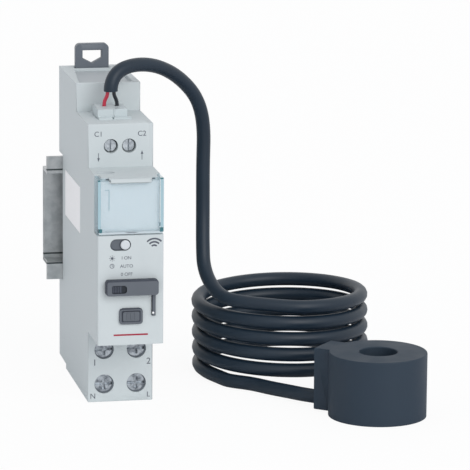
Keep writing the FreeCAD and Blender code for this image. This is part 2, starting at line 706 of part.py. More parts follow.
# Label window
def make_window():
    """Clear cover wrapped round the nose, its lower edge rounded about the hinge."""
    cheek_y = nose_y + s.window_cheek
    heel = s.window_cheek - s.hinge_drop
    window_top = nose_top - s.fit_gap
    blank = fuse(
        "window_blank",
        block("window_slab", (-half, half), (nose_y, cheek_y), (hinge_z, window_top)),
        rod("window_toe", "X", s.hinge_drop, (hinge_y, hinge_z), (-half, half)),
        common("window_heel", rod("heel_round", "X", heel, (hinge_y, hinge_z), (-half, half)),
               block("heel_square", (-half, half), (hinge_y, cheek_y), (s.window_low, hinge_z))),
    )
    within = half - s.window_side
    notch = s.part_gap * 1.5
    tools = [
        block("window_room", (-within, within), (nose_y + s.window_wall, cheek_y + s.skin),
              (s.window_low - s.skin, nose_top + s.skin)),
        prism("window_notch", "XZ", [
            (-s.ledge_narrow / 2 - notch, nose_top - s.ledge_height - notch),
            (s.ledge_narrow / 2 + notch, nose_top - s.ledge_height - notch),
            (s.ledge_width / 2 + notch, nose_top), (-s.ledge_width / 2 - notch, nose_top),
        ], nose_y - s.skin, nose_y + s.window_wall + s.part_gap),
        rod("pin_hole", "X", s.pin_radius + s.run_gap, (hinge_y, hinge_z), (-half - s.skin, half + s.skin)),
    ]
    piece("label_window", cut("window", blank, *tools))
    piece("window_hinge_pins", fuse(
        "pins",
        rod("left_pin", "X", s.pin_radius, (hinge_y, hinge_z), (s.fit_gap - half, -seat_half)),
        rod("right_pin", "X", s.pin_radius, (hinge_y, hinge_z), (seat_half, half - s.fit_gap)),
    ))
    piece("label_card", block("card", (-seat_half + s.fit_gap, seat_half - s.fit_gap),
                              (seat_y - s.card_thick, seat_y),
                              (seat_low + s.seat_wall, nose_top - s.ledge_height - s.part_gap)))


# Toggle
def make_toggle():
    """Slide switch whose pill-shaped front fills the opening, and its knob at the right."""
    end_radius = s.toggle_height / 2 - s.fit_gap
    end_shift = s.toggle_length / 2 - s.toggle_height / 2
    travel = s.toggle_length - s.toggle_height
    pill_y = nose_y + s.toggle_inset
    knob_x = s.toggle_x + end_shift
    root = plate_y + s.fit_gap
    ends = (pill_y, root)
    case_low = toggle_z - s.toggle_height / 2 - s.part_gap
    switch = fuse(
        "toggle_blank",
        block("toggle_case", (s.toggle_x - s.toggle_length * 0.65, s.toggle_x + s.toggle_length * 0.65),
              (root, board_y), (case_low, fascia_top - s.skin - s.fit_gap)),
        block("toggle_face", (s.toggle_x - end_shift, s.toggle_x + end_shift), ends,
              (toggle_z - end_radius, toggle_z + end_radius)),
        rod("toggle_face_left", "Y", end_radius, (s.toggle_x - end_shift, toggle_z), ends),
        rod("toggle_face_right", "Y", end_radius, (knob_x, toggle_z), ends),
    )
    stem = s.toggle_stem / 2
    room = stem + s.part_gap
    slot_end = board_y - s.part_gap * 4
    piece("toggle_switch", cut("toggle_body", switch, block(
        "toggle_slot", (knob_x - travel - room, knob_x + room), (pill_y - s.skin, slot_end),
        (toggle_z - room, toggle_z + room))))
    knob_back = pill_y - s.part_gap
    piece("toggle_knob", fuse(
        "knob",
        rod("knob_disc", "Y", s.knob_radius, (knob_x, toggle_z), (knob_back - s.knob_thick, knob_back)),
        block("knob_stem", (knob_x - stem, knob_x + stem), (knob_back, slot_end - s.part_gap),
              (toggle_z - stem, toggle_z + stem)),
    ))


# Selector
def make_selector():
    """Wide bar with its window, tail, stem and carriage, and the contact leaf on the carriage."""
    bar_back = nose_y - s.part_gap
    bar_front = nose_y - s.bar_stand
    bar = prism("bar", "XZ", rectangle(-s.bar_left, s.bar_right, s.bar_low, s.bar_low + s.bar_height),
                bar_front, bar_back)
    rounding(bar, "bar_corners", ALONG_Y, s.bar_corner)
    rounding(bar, "bar_top_edge", ALONG_X, s.bar_edge, lambda middle: middle.y < float(bar_front) + 0.1)
    stem_top = stem_low + s.stem_height
    carriage_front = plate_y + s.part_gap
    carriage_back = carriage_front + s.carriage_thick
    half_tail = s.tail_width / 2
    half_stem = s.stem_width / 2
    half_carriage = s.carriage_width / 2
    blank = fuse(
        "selector_blank", bar,
        block("tail", (s.tail_x - half_tail, s.tail_x + half_tail), (bar_back - 0.4, bar_back),
              (s.tail_low, s.bar_low + s.bar_corner)),
        block("stem", (s.tail_x - half_stem, s.tail_x + half_stem), (bar_back - 0.2, carriage_front),
              (stem_low, stem_top)),
        block("carriage", (s.tail_x - half_carriage, s.tail_x + half_carriage - 0.1),
              (carriage_front, carriage_back), (stem_low, stem_top)),
    )
    window_low = s.bar_low + s.bar_window_rise
    window = block("bar_window", (-s.bar_window_left, s.bar_window_width - s.bar_window_left),
                   (bar_front - s.skin, bar_front + s.bar_window_deep),
                   (window_low, window_low + s.bar_window_height))
    piece("mode_slider", cut("selector", blank, window))
    leaf_front = carriage_back
    leaf_back = board_y - s.part_gap
    sheet_y = leaf_front + s.wiper_sheet
    low = stem_low + s.wiper_in
    high = low + s.wiper_height
    touch = low + s.wiper_rise
    piece("selector_wiper", prism("wiper", "YZ", [
        (leaf_front, low), (sheet_y, low), (leaf_back, touch - s.wiper_touch), (leaf_back, touch),
        (leaf_back - s.wiper_sheet, touch), (sheet_y, low + s.wiper_root), (sheet_y, high), (leaf_front, high),
    ], s.tail_x - half_tail, s.tail_x + half_tail))


# Pair button
def make_button():
    """Bezel with its sleeve, ribbed key with flange and plunger, and the push switch."""
    x, z = s.button_x, s.button_z
    sleeve_end = plate_y + s.sleeve_reach
    flange = prism("bezel_flange", "XZ", rectangle(x - s.bezel_width / 2, x + s.bezel_width / 2,
                                                   z - s.bezel_height / 2, z + s.bezel_height / 2),
                   nose_y - s.bezel_stand, nose_y)
    rounding(flange, "bezel_corners", ALONG_Y, s.bezel_corner)
    sleeve = block("bezel_sleeve", (x - sleeve_width / 2, x + sleeve_width / 2), (nose_y, sleeve_end),
                   (z - sleeve_height / 2, z + sleeve_height / 2))
    open_x = s.key_width / 2 + s.part_gap
    open_z = s.key_height / 2 + s.part_gap
    piece("button_bezel", cut("bezel", fuse("bezel_blank", flange, sleeve), block(
        "bezel_opening", (x - open_x, x + open_x), (nose_y - s.skin, sleeve_end + s.skin),
        (z - open_z, z + open_z))))
    key_front = nose_y - s.key_stand
    flange_front = sleeve_end + s.part_gap
    flange_back = flange_front + s.key_flange
    key = prism("key", "XZ", rectangle(x - s.key_width / 2, x + s.key_width / 2,
                                       z - s.key_height / 2, z + s.key_height / 2), key_front, flange_front)
    rounding(key, "key_corners", ALONG_Y, s.key_corner)
    ribs = []
    rib_zs = (z - s.rib_length / 2, z + s.rib_length / 2)
    for index in range(3):
        rib_x = x + s.rib_pitch * (index - 1)
        ribs.append(block("rib%d" % index, (rib_x - s.rib_width / 2, rib_x + s.rib_width / 2),
                          (key_front - s.rib_stand, key_front), rib_zs))
    switch_front = board_y - s.switch_depth
    plunger_end = switch_front + s.part_gap
    piece("pair_button", fuse(
        "button", key,
        block("key_flange_plate", (x - sleeve_width / 2, x + sleeve_width / 2), (flange_front, flange_back),
              (z - sleeve_height / 2, z + sleeve_height / 2)),
        rod("key_plunger_rod", "Y", s.key_plunger, (x, z), (flange_back, plunger_end)), *ribs))
    piece("pair_switch", cut(
        "push_switch",
        block("switch_case", (x - s.switch_width / 2, x + s.switch_width / 2), (switch_front, board_y),
              (z - s.switch_width / 2, z + s.switch_width / 2)),
        rod("switch_bore", "Y", s.key_plunger + s.head_gap, (x, z),
            (switch_front - s.skin, board_y - s.part_gap * 2))))


# Boards and what is on them
def make_boards():
    """Front board, main board and the larger parts on them."""
    board_back = board_y + s.board_thick
    piece("front_pcb", block("front_board", (s.board_gap - inner, inner - s.board_gap), (board_y, board_back),
                             (s.nose_low + s.skin + s.board_gap, fascia_top - s.skin - s.board_gap)))
    piece("status_led", block("led", (s.light_x - s.light_size / 2, s.light_x + s.light_size / 2),
                              (board_y - s.light_thick, board_y),
                              (s.light_z - s.light_size / 2, s.light_z + s.light_size / 2)))
    face = s.main_board_x
    parts_front = board_back + s.parts_room
    parts_top = s.main_board_high - s.parts_drop
    piece("main_pcb", block("main_board", (face, face + s.board_thick),
                            (board_back + s.board_gap, before(s.main_board_back)),
                            (s.main_board_low, s.main_board_high)))
    radio_low = s.main_board_low + s.radio_rise
    can = prism("radio_can", "XZ", rectangle(face - s.radio_thick, face, radio_low, radio_low + s.radio_height),
                parts_front, parts_front + s.radio_length)
    rounding(can, "radio_can_edges", ALONG_Y, s.can_round, lambda middle: middle.x < float(face) - 1)
    piece("radio_module", can)
    chip_back = before(s.main_board_back) - s.chip_in
    chip_low = s.main_board_low + s.chip_rise
    piece("metering_chip", block("chip", (face - s.chip_thick, face), (chip_back - s.chip_length, chip_back),
                                 (chip_low, chip_low + s.chip_height)))
    film_back = parts_front + s.film_length
    case = prism("film_case", "XZ", rectangle(face - s.film_thick, face, parts_top - s.film_height, parts_top),
                 parts_front, film_back)
    rounding(case, "film_case_edges", ALONG_Y, s.film_round, lambda middle: middle.x < float(face) - 1)
    piece("suppression_capacitor", case)
    iron_front = film_back + s.parts_gap
    iron_back = iron_front + s.iron_length
    iron_foot = parts_top - s.iron_tall
    iron_xs = (face - s.iron_width, face)
    window = (iron_foot + s.iron_yoke, parts_top - s.iron_yoke)
    piece("power_transformer", fuse(
        "transformer",
        block("core_top", iron_xs, (iron_front, iron_back), (window[1], parts_top)),
        block("core_foot", iron_xs, (iron_front, iron_back), (iron_foot, window[0])),
        rod("transformer_winding", "Z", s.iron_winding,
            (face - s.iron_width / 2, (iron_front + iron_back) / 2), window),
        block("core_front", iron_xs, (iron_front, iron_front + s.iron_limb), window),
        block("core_back", iron_xs, (iron_back - s.iron_limb, iron_back), window),
    ))
    piece("bulk_capacitor", rod("can", "Z", s.bulk_radius,
                                (face - s.bulk_radius - s.fit_gap, iron_back + s.bulk_gap + s.bulk_radius),
                                (parts_top - s.bulk_height, parts_top)))


# Lower terminals
def make_screw(name, radius, height, shank, centre, head_front, tip, slots):
    """A screw along Y with its drive cut into the head."""
    head = rod(name + "_head", "Y", radius, centre, (head_front, head_front + height))
    stem = rod(name + "_shank", "Y", shank, centre, (head_front + height, tip))
    tools = []
    for index, (across, up) in enumerate(slots):
        tools.append(block("%s_slot%d" % (name, index), (centre[0] - across, centre[0] + across),
                           (head_front - s.skin, head_front + s.drive_deep), (centre[1] - up, centre[1] + up)))
    return cut(name + "_turned", fuse(name + "_blank", head, stem), *tools)


def make_cage(name, centre, width, height, front, depth, wall, nut, hole):
    """A rectangular clamp cage, open up and down, with its threaded front wall."""
    x, z = centre
    outer = block(name + "_outer", (x - width / 2, x + width / 2), (front, front + depth),
                  (z - height / 2, z + height / 2))
    room = block(name + "_inner", (x - width / 2 + wall, x + width / 2 - wall),
                 (front + nut, front + depth - wall), (z - height, z + height))
    thread = rod(name + "_thread", "Y", hole, centre, (front - s.skin, front + nut * 1.5))
    return cut(name + "_ring", outer, room, thread)


def make_terminals():
    """Screws, cages and bars of the four lower terminals."""
    slot = (s.head_radius + s.skin, s.drive_width / 2)
    cross = (s.drive_width / 2, s.cross_height / 2)
    for name, side, screw_z, bar_depth in CELLS:
        x = s.cell_x * side
        bar_y = before(bar_depth)
        piece("terminal_screw_" + name, make_screw(
            "screw_" + name, s.head_radius, s.head_height, s.shank_radius, (x, screw_z), face_y + s.head_sink,
            bar_y - s.board_gap, (slot, cross)))
        cage_front = bar_y - s.part_gap - s.cage_nut
        cage_depth = s.cage_nut + s.part_gap + s.terminal_bar_thick + s.wire_space + s.cage_wall
        piece("terminal_cage_" + name, make_cage(
            "cage_" + name, (x, screw_z), s.cage_width, s.cage_height, cage_front, cage_depth, s.cage_wall,
            s.cage_nut, s.shank_radius + s.run_gap))
    make_feed_bar("n", -1, s.main_board_low + s.feed_rise)
    make_feed_bar("l", 1, s.main_board_low + s.part_gap * 2)
    make_load_bars()


def make_feed_bar(name, side, strip_low):
    """A supply bar: tongue in the cage, leg beside the upper screw, strip to the main board."""
    bar_y = before(s.front_bar_depth)
    ys = (bar_y, bar_y + s.terminal_bar_thick)
    x = s.cell_x * side
    tongue_top = s.front_cell_z + s.cage_height / 2 + s.skin
    leg = s.divider_thick / 2 + s.part_gap
    edge = leg + s.terminal_bar_thick
    leg_xs = (leg, edge) if side > 0 else (-edge, -leg)
    far = x + s.terminal_bar_width / 2 if side > 0 else x - s.terminal_bar_width / 2
    bridge_xs = (leg, far) if side > 0 else (far, -leg)
    piece("terminal_bar_" + name, fuse(
        "bar_" + name,
        block("tongue_" + name, (x - s.terminal_bar_width / 2, x + s.terminal_bar_width / 2), ys,
              (s.skin * 2, tongue_top)),
        block("bridge_" + name, bridge_xs, ys, (tongue_top - s.bridge_height, tongue_top)),
        block("leg_" + name, leg_xs, ys, (tongue_top - s.bridge_height, strip_low + s.strip_width)),
        block("strip_" + name, (leg_xs[0], s.main_board_x), ys, (strip_low, strip_low + s.strip_width)),
    ))


leaf_back_y = before(s.drive_depth + s.bobbin_flange / 2 + 0.2 + s.yoke_thick) - s.tail_gap \
    - s.armature_thick - s.part_gap * 2 - s.pusher_length


def make_load_bars():
    """The switched bars: one rises to the fixed contact, the other to the moving leaf's foot."""
    bar_y = before(s.rear_bar_depth)
    thick = s.terminal_bar_thick
    leaf_front = leaf_back_y - s.leaf_thick
    fixed_back = leaf_front - s.contact_thick - s.contact_open - s.fixed_thick
    tongue_low = s.rear_cell_z - s.cage_height / 2 + s.part_gap
    level = (link_low, link_low + thick)
    for name, side, riser, top in (
        ("1", -1, (fixed_back - thick, fixed_back), s.contact_z + s.contact_radius * 2),
        ("2", 1, (leaf_front - thick / 2, leaf_front + thick / 2), s.leaf_foot - s.part_gap),
    ):
        x = s.cell_x * side
        points = [
            (bar_y + thick, tongue_low), (bar_y + thick, level[1]), (riser[1], level[1]), (riser[1], top),
            (riser[0], top), (riser[0], level[0]), (bar_y, level[0]), (bar_y, tongue_low),
        ]
        piece("terminal_bar_" + name, prism("load_bar_" + name, "YZ", points, x - s.terminal_bar_width / 2,
                                            x + s.terminal_bar_width / 2))
    piece("fixed_contact", rod("fixed_rivet", "Y", s.contact_radius, (-s.cell_x, s.contact_z),
                               (fixed_back, fixed_back + s.fixed_thick)))
    leaf_left, leaf_right = -s.cell_x - s.leaf_width / 2, s.cell_x + s.leaf_width / 2
    leaf_ys = (leaf_front, leaf_back_y)
    piece("moving_contact_spring", fuse(
        "leaf",
        block("leaf_blade", (leaf_left, leaf_left + s.leaf_width), leaf_ys, (s.leaf_foot, s.leaf_top)),
        block("leaf_strip", (leaf_left, leaf_right), leaf_ys, (s.leaf_foot, s.leaf_foot + s.leaf_base)),
        rod("moving_rivet", "Y", s.contact_radius, (-s.cell_x, s.contact_z),
            (leaf_front - s.contact_thick, leaf_front)),
    ))


# Sensor terminals
def make_sensor_terminals():
    """White block whose neck stands out of the case's top, with its two screws and cages."""
    ys = (block_front, block_back)
    neck_top = s.block_top + s.block_stand
    blank = fuse(
        "block_blank",
        block("block_body", (-s.block_left, s.block_right), ys,
              (s.block_low, s.block_top - s.skin - s.fit_gap)),
        block("block_neck", (-s.block_left, s.block_neck), ys, (s.block_low, neck_top)),
    )
    tools = [block("block_groove", (s.groove_x - s.groove_wide / 2, s.groove_x + s.groove_wide / 2),
                   (block_front - s.skin, block_front + s.groove_deep), (s.block_top, neck_top + s.skin))]
    cage_front = small_cage_back - s.small_cage_depth
    room_low = s.small_z - s.small_cage_height / 2 - s.part_gap
    for name, screw_x in SMALL_CELLS:
        reach = s.small_cage_width / 2 + s.board_gap
        tools.append(block("room_" + name, (screw_x - reach, screw_x + reach),
                           (block_front - s.skin, small_cage_back + s.part_gap), (room_low, small_room_top)))
    for name, core_x in CORES:
        tools.append(rod("entry_" + name, "Z", s.core_hole, (core_x, core_y),
                         (small_room_top - s.part_gap, neck_top + s.skin)))
    piece("ct_terminal_block", cut("sensor_block", blank, *tools))
    for name, screw_x in SMALL_CELLS:
        centre = (screw_x, s.small_z)
        tip = small_front + s.small_head_height + s.small_shank_length
        piece("ct_screw_" + name, make_screw(
            "small_" + name, s.small_head_radius, s.small_head_height, s.small_shank_radius, centre,
            small_front, tip, ((s.small_slot / 2, s.small_head_radius + s.skin),)))
        piece("ct_cage_" + name, make_cage(
            "small_cage_" + name, centre, s.small_cage_width, s.small_cage_height, cage_front,
            s.small_cage_depth, s.small_cage_wall, s.small_nut, s.small_shank_radius + s.run_gap))


# Rail and clips
def make_rail():
    """A stub of top-hat rail in the groove."""
    sheet_back = behind(s.rail_sheet)
    rear = behind(s.rail_depth)
    hat_low = s.rail_low + (s.rail_height - s.rail_hat) / 2
    hat_high = hat_low + s.rail_hat
    piece("din_rail", prism("rail", "YZ", [
        (rail_y, s.rail_low), (rail_y, hat_low + s.rail_sheet), (rear - s.rail_sheet, hat_low + s.rail_sheet),
        (rear - s.rail_sheet, hat_high - s.rail_sheet), (rail_y, hat_high - s.rail_sheet),
        (rail_y, rail_high), (sheet_back, rail_high), (sheet_back, hat_high), (rear, hat_high),
        (rear, hat_low), (sheet_back, hat_low),
        (sheet_back, s.rail_low),
    ], -s.rail_length / 2, s.rail_length / 2))


def make_clips():
    """Flat clips in their channels: the upper one has a tab with a pry hole, the lower one a slot."""
    front = channel_front + s.part_gap
    back = front + s.clip_thick
    left, right = s.clip_x - s.clip_width / 2, s.clip_x + s.clip_width / 2
    top = s.body_height + s.clip_tab
    upper = prism("upper_plate", "XZ", rectangle(left, right, rail_high - s.clip_hook, top), front, back)
    rounding(upper, "upper_corners", ALONG_Y, s.clip_round, lambda middle: middle.z > float(top) - 1)
    hole_left, hole_right = s.clip_x - s.pry_width / 2, s.clip_x + s.pry_width / 2
    shoulder = s.body_height + s.pry_shoulder
    hole_top = s.body_height + s.pry_top
    pocket(upper, "pry_hole", "XZ", [
        (hole_left, hole_top), (hole_left, shoulder), (s.clip_x, s.body_height + s.pry_point),
        (hole_right, shoulder), (hole_right, hole_top),
    ], -front, s.clip_thick)
    piece("upper_rail_clip", upper)
    hook = s.rail_low + s.clip_hook
    lower = prism("lower_plate", "XZ", rectangle(left, right, s.clip_low, hook), front, back)
    slot_low = s.clip_low + s.pry_rim
    pocket(lower, "pry_slot_cut", "XZ", rectangle(s.clip_x - s.pry_slot, s.clip_x + s.pry_slot,
                                                  slot_low, slot_low + s.pry_slot), -front, s.clip_thick)
    piece("lower_rail_clip", lower)


# Contactor drive
def make_drive():
    """Yoke, core, bobbin, winding, armature, pusher and the base that carries them."""
    x, y = s.drive_x, before(s.drive_depth)
    low = s.drive_low
    flange = s.bobbin_flange / 2
    leg_back = y - flange - 0.2
    leg_front = leg_back - s.yoke_thick
    half_yoke = s.yoke_width / 2
    xs = (x - half_yoke, x + half_yoke)
    yoke_top = low + s.yoke_height
    piece("relay_yoke", prism("yoke", "YZ", [
        (leg_front, low), (y + flange - 1.0, low), (y + flange - 1.0, low + s.yoke_thick),
        (leg_back, low + s.yoke_thick), (leg_back, yoke_top), (leg_front, yoke_top),
    ], *xs))
    plate_low = yoke_top + s.part_gap
    pole_top = plate_low - s.pole_gap
    pole_low = pole_top - s.pole_thick
    piece("relay_core", fuse(
        "core", rod("core_rod", "Z", s.core_radius, (x, y), (low + s.yoke_thick, pole_low)),
        rod("pole", "Z", s.pole_radius, (x, y), (pole_low, pole_top))))
    foot = low + s.yoke_thick + s.board_gap
    head = pole_low - s.board_gap
    tube = s.core_radius + s.fit_gap
    square = ((x - flange, x + flange), (y - flange, y + flange))
    piece("relay_bobbin", cut(
        "bobbin",
        fuse("bobbin_blank",
             block("lower_flange", *square, (foot, foot + s.bobbin_sheet)),
             block("upper_flange", *square, (head - s.bobbin_sheet, head)),
             rod("bobbin_tube", "Z", tube + s.bobbin_sheet * 0.75, (x, y), (foot, head))),
        rod("bobbin_bore", "Z", tube, (x, y), (foot - s.skin, head + s.skin))))
    wound = (foot + s.bobbin_sheet + 0.05, head - s.bobbin_sheet - 0.05)
    piece("relay_winding", cut(
        "winding", rod("winding_outer", "Z", s.winding_radius, (x, y), wound),
        rod("winding_inner", "Z", tube + s.bobbin_sheet * 0.75 + 0.05, (x, y), (foot, head))))
    tail_back = leg_front - s.tail_gap
    tail_front = tail_back - s.armature_thick
    tail_end = plate_low - s.armature_tail
    plate_high = plate_low + s.armature_thick
    plate_back = y + flange - s.armature_short
    piece("relay_armature", prism("armature", "YZ", [
        (tail_front, tail_end), (tail_back, tail_end), (tail_back, plate_low),
        (plate_back, plate_low), (plate_back, plate_high), (tail_front, plate_high),
    ], *xs))
    pusher_back = tail_front - s.part_gap
    side = s.main_board_x - 1.2
    piece("contact_pusher", block("pusher", (-s.cell_x - s.pusher_over, side - s.part_gap),
                                  (pusher_back - s.pusher_length, pusher_back),
                                  (s.pusher_z, s.pusher_z + s.pusher_height)))
    carrier = block("carrier", (side, side + 1.1), (leaf_back_y + 1.5, y + flange), (low, yoke_top))
    bosses = [block("boss%d" % index, (xs[1], side), (leg_front, leg_back), (z, z + 3.0))
              for index, z in enumerate((low + 2.0, yoke_top - 5.0))]
    piece("relay_base", fuse("base", carrier, *bosses))


# Cord, cores and sensor
def meeting(first, corner, last, radius):
    """Tangent points and middle of the arc that rounds a corner."""
    into = (corner - first).normalize()
    out = (last - corner).normalize()
    turn = into.getAngle(out)
    reach = radius * math.tan(turn / 2)
    start = corner - into * reach
    end = corner + out * reach
    inward = (out - into).normalize()
    middle = corner + inward * (math.hypot(radius, reach) - radius)
    return start, middle, end


def route_wire(points):
    """Straight runs joined by tangent arcs, each as large as its two runs allow.

    An arc takes up to 0.45 of a run, and up to 0.9 of the first and the last run, which have one arc only.
    """
    edges = []
    radii = []
    at = points[0]
    for index in range(1, len(points) - 1):
        first, corner, last = points[index - 1:index + 2]
        share_in = 0.9 if index == 1 else 0.45
        share_out = 0.9 if index == len(points) - 2 else 0.45
        reach = min(share_in * (corner - first).Length, share_out * (last - corner).Length)
        turn = (corner - first).getAngle(last - corner)
        radius = reach / math.tan(turn / 2)
        radii.append(radius)
        start, middle, end = meeting(first, corner, last, radius)
        edges.append(Part.LineSegment(at, start).toShape())
        edges.append(Part.Arc(start, middle, end).toShape())
        at = end
    edges.append(Part.LineSegment(at, points[-1]).toShape())
    return Part.Wire(edges), radii


def tube(name, label, wire, direction, diameter):
    """A round tube along a wire; prints how its volume compares with section times length."""
    start = wire.Edges[0].valueAt(wire.Edges[0].FirstParameter)
    ring = Part.Wire(Part.makeCircle(diameter / 2, start, direction))
    shape = wire.makePipeShell([ring], True, False)
    ideal = math.pi * diameter ** 2 / 4 * wire.Length
    print("%s: length %.1f, volume ratio %.4f" % (label, wire.Length, shape.Volume / ideal))
    feature = doc.addObject("Part::Feature", name)
    feature.Shape = shape
    feature.Placement = Placement()
    return piece(label, feature)


rail_plane = float(rail_y)
cord = float(s.cord_diameter)


def at_rail(x, y, z):
    """A point given from the rail plane."""
    return Vector(x, rail_plane + y, z)


coil_middle = at_rail(float(s.coil_x), float(s.coil_behind), 0)
coil_radius = float(s.coil_radius)
coil_start = math.radians(-100.0)
coil_turns = 4.842
coil_high = float(s.coil_top)
coil_low = cord / 2 + 0.25
coil_fall = (coil_low - coil_high) / (coil_turns * 2 * math.pi)
coil_drift = -float(s.coil_lean) / (2 * math.pi)


def coil_point(angle):
    """A point on the coil's middle line; the angle starts at the coil's start."""
    turned = coil_start + angle
    across = coil_middle.y + coil_drift * angle + coil_radius * math.sin(turned)
    return Vector(coil_middle.x + coil_radius * math.cos(turned), across, coil_high + coil_fall * angle)


def coil_way(angle):
    """The direction of the coil's middle line."""
    turned = coil_start + angle
    across = coil_drift + coil_radius * math.cos(turned)
    return Vector(-coil_radius * math.sin(turned), across, coil_fall).normalize()


def biarc(first, first_way, last, last_way):
    """Two tangent arcs between two points with given directions."""
    chord = last - first
    ways = first_way + last_way
    under = 2 * (1 - first_way.dot(last_way))
    along = chord.dot(ways)
    reach = (math.sqrt(along ** 2 + under * chord.dot(chord)) - along) / under
    first_corner = first + first_way * reach
    last_corner = last - last_way * reach
    joint = (first_corner + last_corner) / 2
    edges = []
    for start, corner, end in ((first, first_corner, joint), (joint, last_corner, last)):
        half_turn = (corner - start).getAngle(end - corner) / 2
        radius = reach / math.tan(half_turn)
        inward = ((start + end) / 2 - corner).normalize()
        middle = corner + inward * (math.hypot(radius, reach) - radius)
        edges.append(Part.Arc(start, middle, end).toShape())
    return edges


def make_coil():
    """The coil's tube: quarter turns as biarcs, with a straight end of one diameter each."""
    total = coil_turns * 2 * math.pi
    count = math.ceil(coil_turns * 4)
    step = total / count
    first, last = coil_point(0), coil_point(total)
    edges = [Part.LineSegment(first - coil_way(0) * cord, first).toShape()]
    for index in range(count):
        low, high = step * index, step * (index + 1)
        edges += biarc(coil_point(low), coil_way(low), coil_point(high), coil_way(high))
    edges.append(Part.LineSegment(last, last + coil_way(total) * cord).toShape())
    wire = Part.Wire(edges)
    tube("coil_tube", "cord_coil", wire, coil_way(0), cord)
    marks = [coil_point(total * index / 600) for index in range(601)]
    turn = 600 / coil_turns
    least = min((marks[a] - marks[b]).Length for a in range(601) for b in range(a + int(turn * 0.6), 601))
    print("cord_coil: least gap to itself %.2f" % (least - cord))
    return first - coil_way(0) * cord, coil_way(0), last + coil_way(total) * cord, coil_way(total)


def make_cord():
    """Lead, coil and tail, and the two cores between the sheath and the block."""
    lead_end, lead_way, tail_start, tail_way = make_coil()
    sheath = at_rail(-0.6, -31.6, 82.9)
    lead = [
        sheath, sheath + Vector(0, 0, 1.9), at_rail(1.0, -30.6, 87.6), at_rail(4.4, -28.6, 89.1),
        at_rail(9.7, -25.5, 89.1), at_rail(15.3, -22.0, 87.4), at_rail(21.0, -18.6, 83.7),
        at_rail(26.3, -15.5, 77.7), at_rail(28.5, -14.0, 69.9), at_rail(28.2, -14.2, 58.5),
        at_rail(28.2, -14.6, 45.9), at_rail(27.7, -17.1, 37.4), at_rail(27.4, -20.3, 30.1),
        at_rail(29.5, -27.6, 25.2), at_rail(33.0, -33.4, 24.0), lead_end - lead_way * 5.0, lead_end,
    ]
    wire, radii = route_wire(lead)
    print("cord_lead: radii " + ", ".join("%.1f" % radius for radius in radii))
    tube("lead_tube", "cord_lead", wire, Vector(0, 0, 1), cord)
    turn = math.radians(float(s.neck_turn))
    neck_way = Vector(math.cos(turn), math.sin(turn), 0)
    ring_middle = at_rail(float(s.ring_x), float(s.ring_behind), 0)
    neck_end = ring_middle + neck_way * float(s.neck_reach) + Vector(0, 0, float(s.entry_z))
    tail = [
        tail_start, tail_start + tail_way * 3.8, at_rail(37.4, -38.4, 1.95), at_rail(41.4, -44.6, 2.05),
        at_rail(45.2, -50.2, 2.35), neck_end + neck_way * 5.0, neck_end,
    ]
    wire, radii = route_wire(tail)
    print("cord_tail: radii " + ", ".join("%.1f" % radius for radius in radii))
    tube("tail_tube", "cord_tail", wire, tail_way, cord)
    core = float(s.core_diameter)
    entry_top = float(s.block_top + s.block_stand)
    core_end = float(small_room_top) + 0.4
    for (name, entry_x), side in zip(CORES, (-1, 1)):
        start = sheath + Vector(float(s.core_apart) * side, 0, 0)
        points = [
            start, start - Vector(0, 0, 1.0), Vector(float(entry_x), float(core_y), entry_top + 1.2),
            Vector(float(entry_x), float(core_y), core_end),
        ]
        wire, radii = route_wire(points)
        tube("core_%s_tube" % name, "core_" + name, wire, Vector(0, 0, -1), core)


def make_ring():
    """Sensor ring: cup with its neck, lid, wound core."""
    x = s.ring_x
    y = rail_y + s.ring_behind
    top = s.ring_height
    inner_radius = s.ring_bore + s.ring_wall
    outer_radius = s.ring_radius - s.ring_wall
    neck = block("neck", (0, s.neck_reach), (-s.neck_width / 2, s.neck_width / 2), (s.neck_low, top))
    neck.Placement = Placement(Vector(), Rotation(Vector(0, 0, 1), float(s.neck_turn)))
    turn = math.radians(float(s.neck_turn))
    shift = s.neck_width / 2
    bind(neck, "Placement.Base.x", x + shift * math.sin(turn))
    bind(neck, "Placement.Base.y", y - shift * math.cos(turn))
    bind(neck, "Placement.Rotation.Angle", s.neck_turn)
    room = cut("ring_room", rod("room_outer", "Z", outer_radius, (x, y), (-s.skin, top - s.ring_wall)),
               rod("room_inner", "Z", inner_radius, (x, y), (-s.skin * 2, top)))
    piece("torus_housing", cut(
        "ring_cup",
        fuse("ring_blank", rod("ring_body", "Z", s.ring_radius, (x, y), (0, top)), neck),
        rod("ring_hole", "Z", s.ring_bore, (x, y), (-s.skin, top + s.skin)), room))
    piece("torus_lid", cut(
        "ring_lid", rod("lid_outer", "Z", outer_radius - s.run_gap, (x, y), (0, s.ring_wall)),
        rod("lid_inner", "Z", inner_radius + s.run_gap, (x, y), (-s.skin, s.ring_wall + s.skin))))
    iron = (s.iron_low, s.iron_low + s.iron_height)
    piece("torus_core", cut(
        "iron", rod("iron_body", "Z", s.iron_outer, (x, y), iron),
        rod("iron_hole", "Z", s.iron_inner, (x, y), (0, top))))
    wrap = s.wound_thick + s.fit_gap
    wound = (s.iron_low - wrap, s.iron_low + s.iron_height + wrap)
    piece("torus_winding", cut(
        "ring_winding", rod("wound_outer", "Z", s.iron_outer + wrap, (x, y), wound),
        rod("wound_hole", "Z", s.iron_inner - wrap, (x, y), (0, top)),
        cut("wound_room", rod("wound_room_outer", "Z", s.iron_outer + s.fit_gap, (x, y),
                              (s.iron_low - s.fit_gap, s.iron_low + s.iron_height + s.fit_gap)),
            rod("wound_room_inner", "Z", s.iron_inner - s.fit_gap, (x, y), (0, top))),
        block("wound_slit", (x - s.ring_radius, x - s.iron_inner / 2), (y - 1.0, y + 1.0), (0, top))))


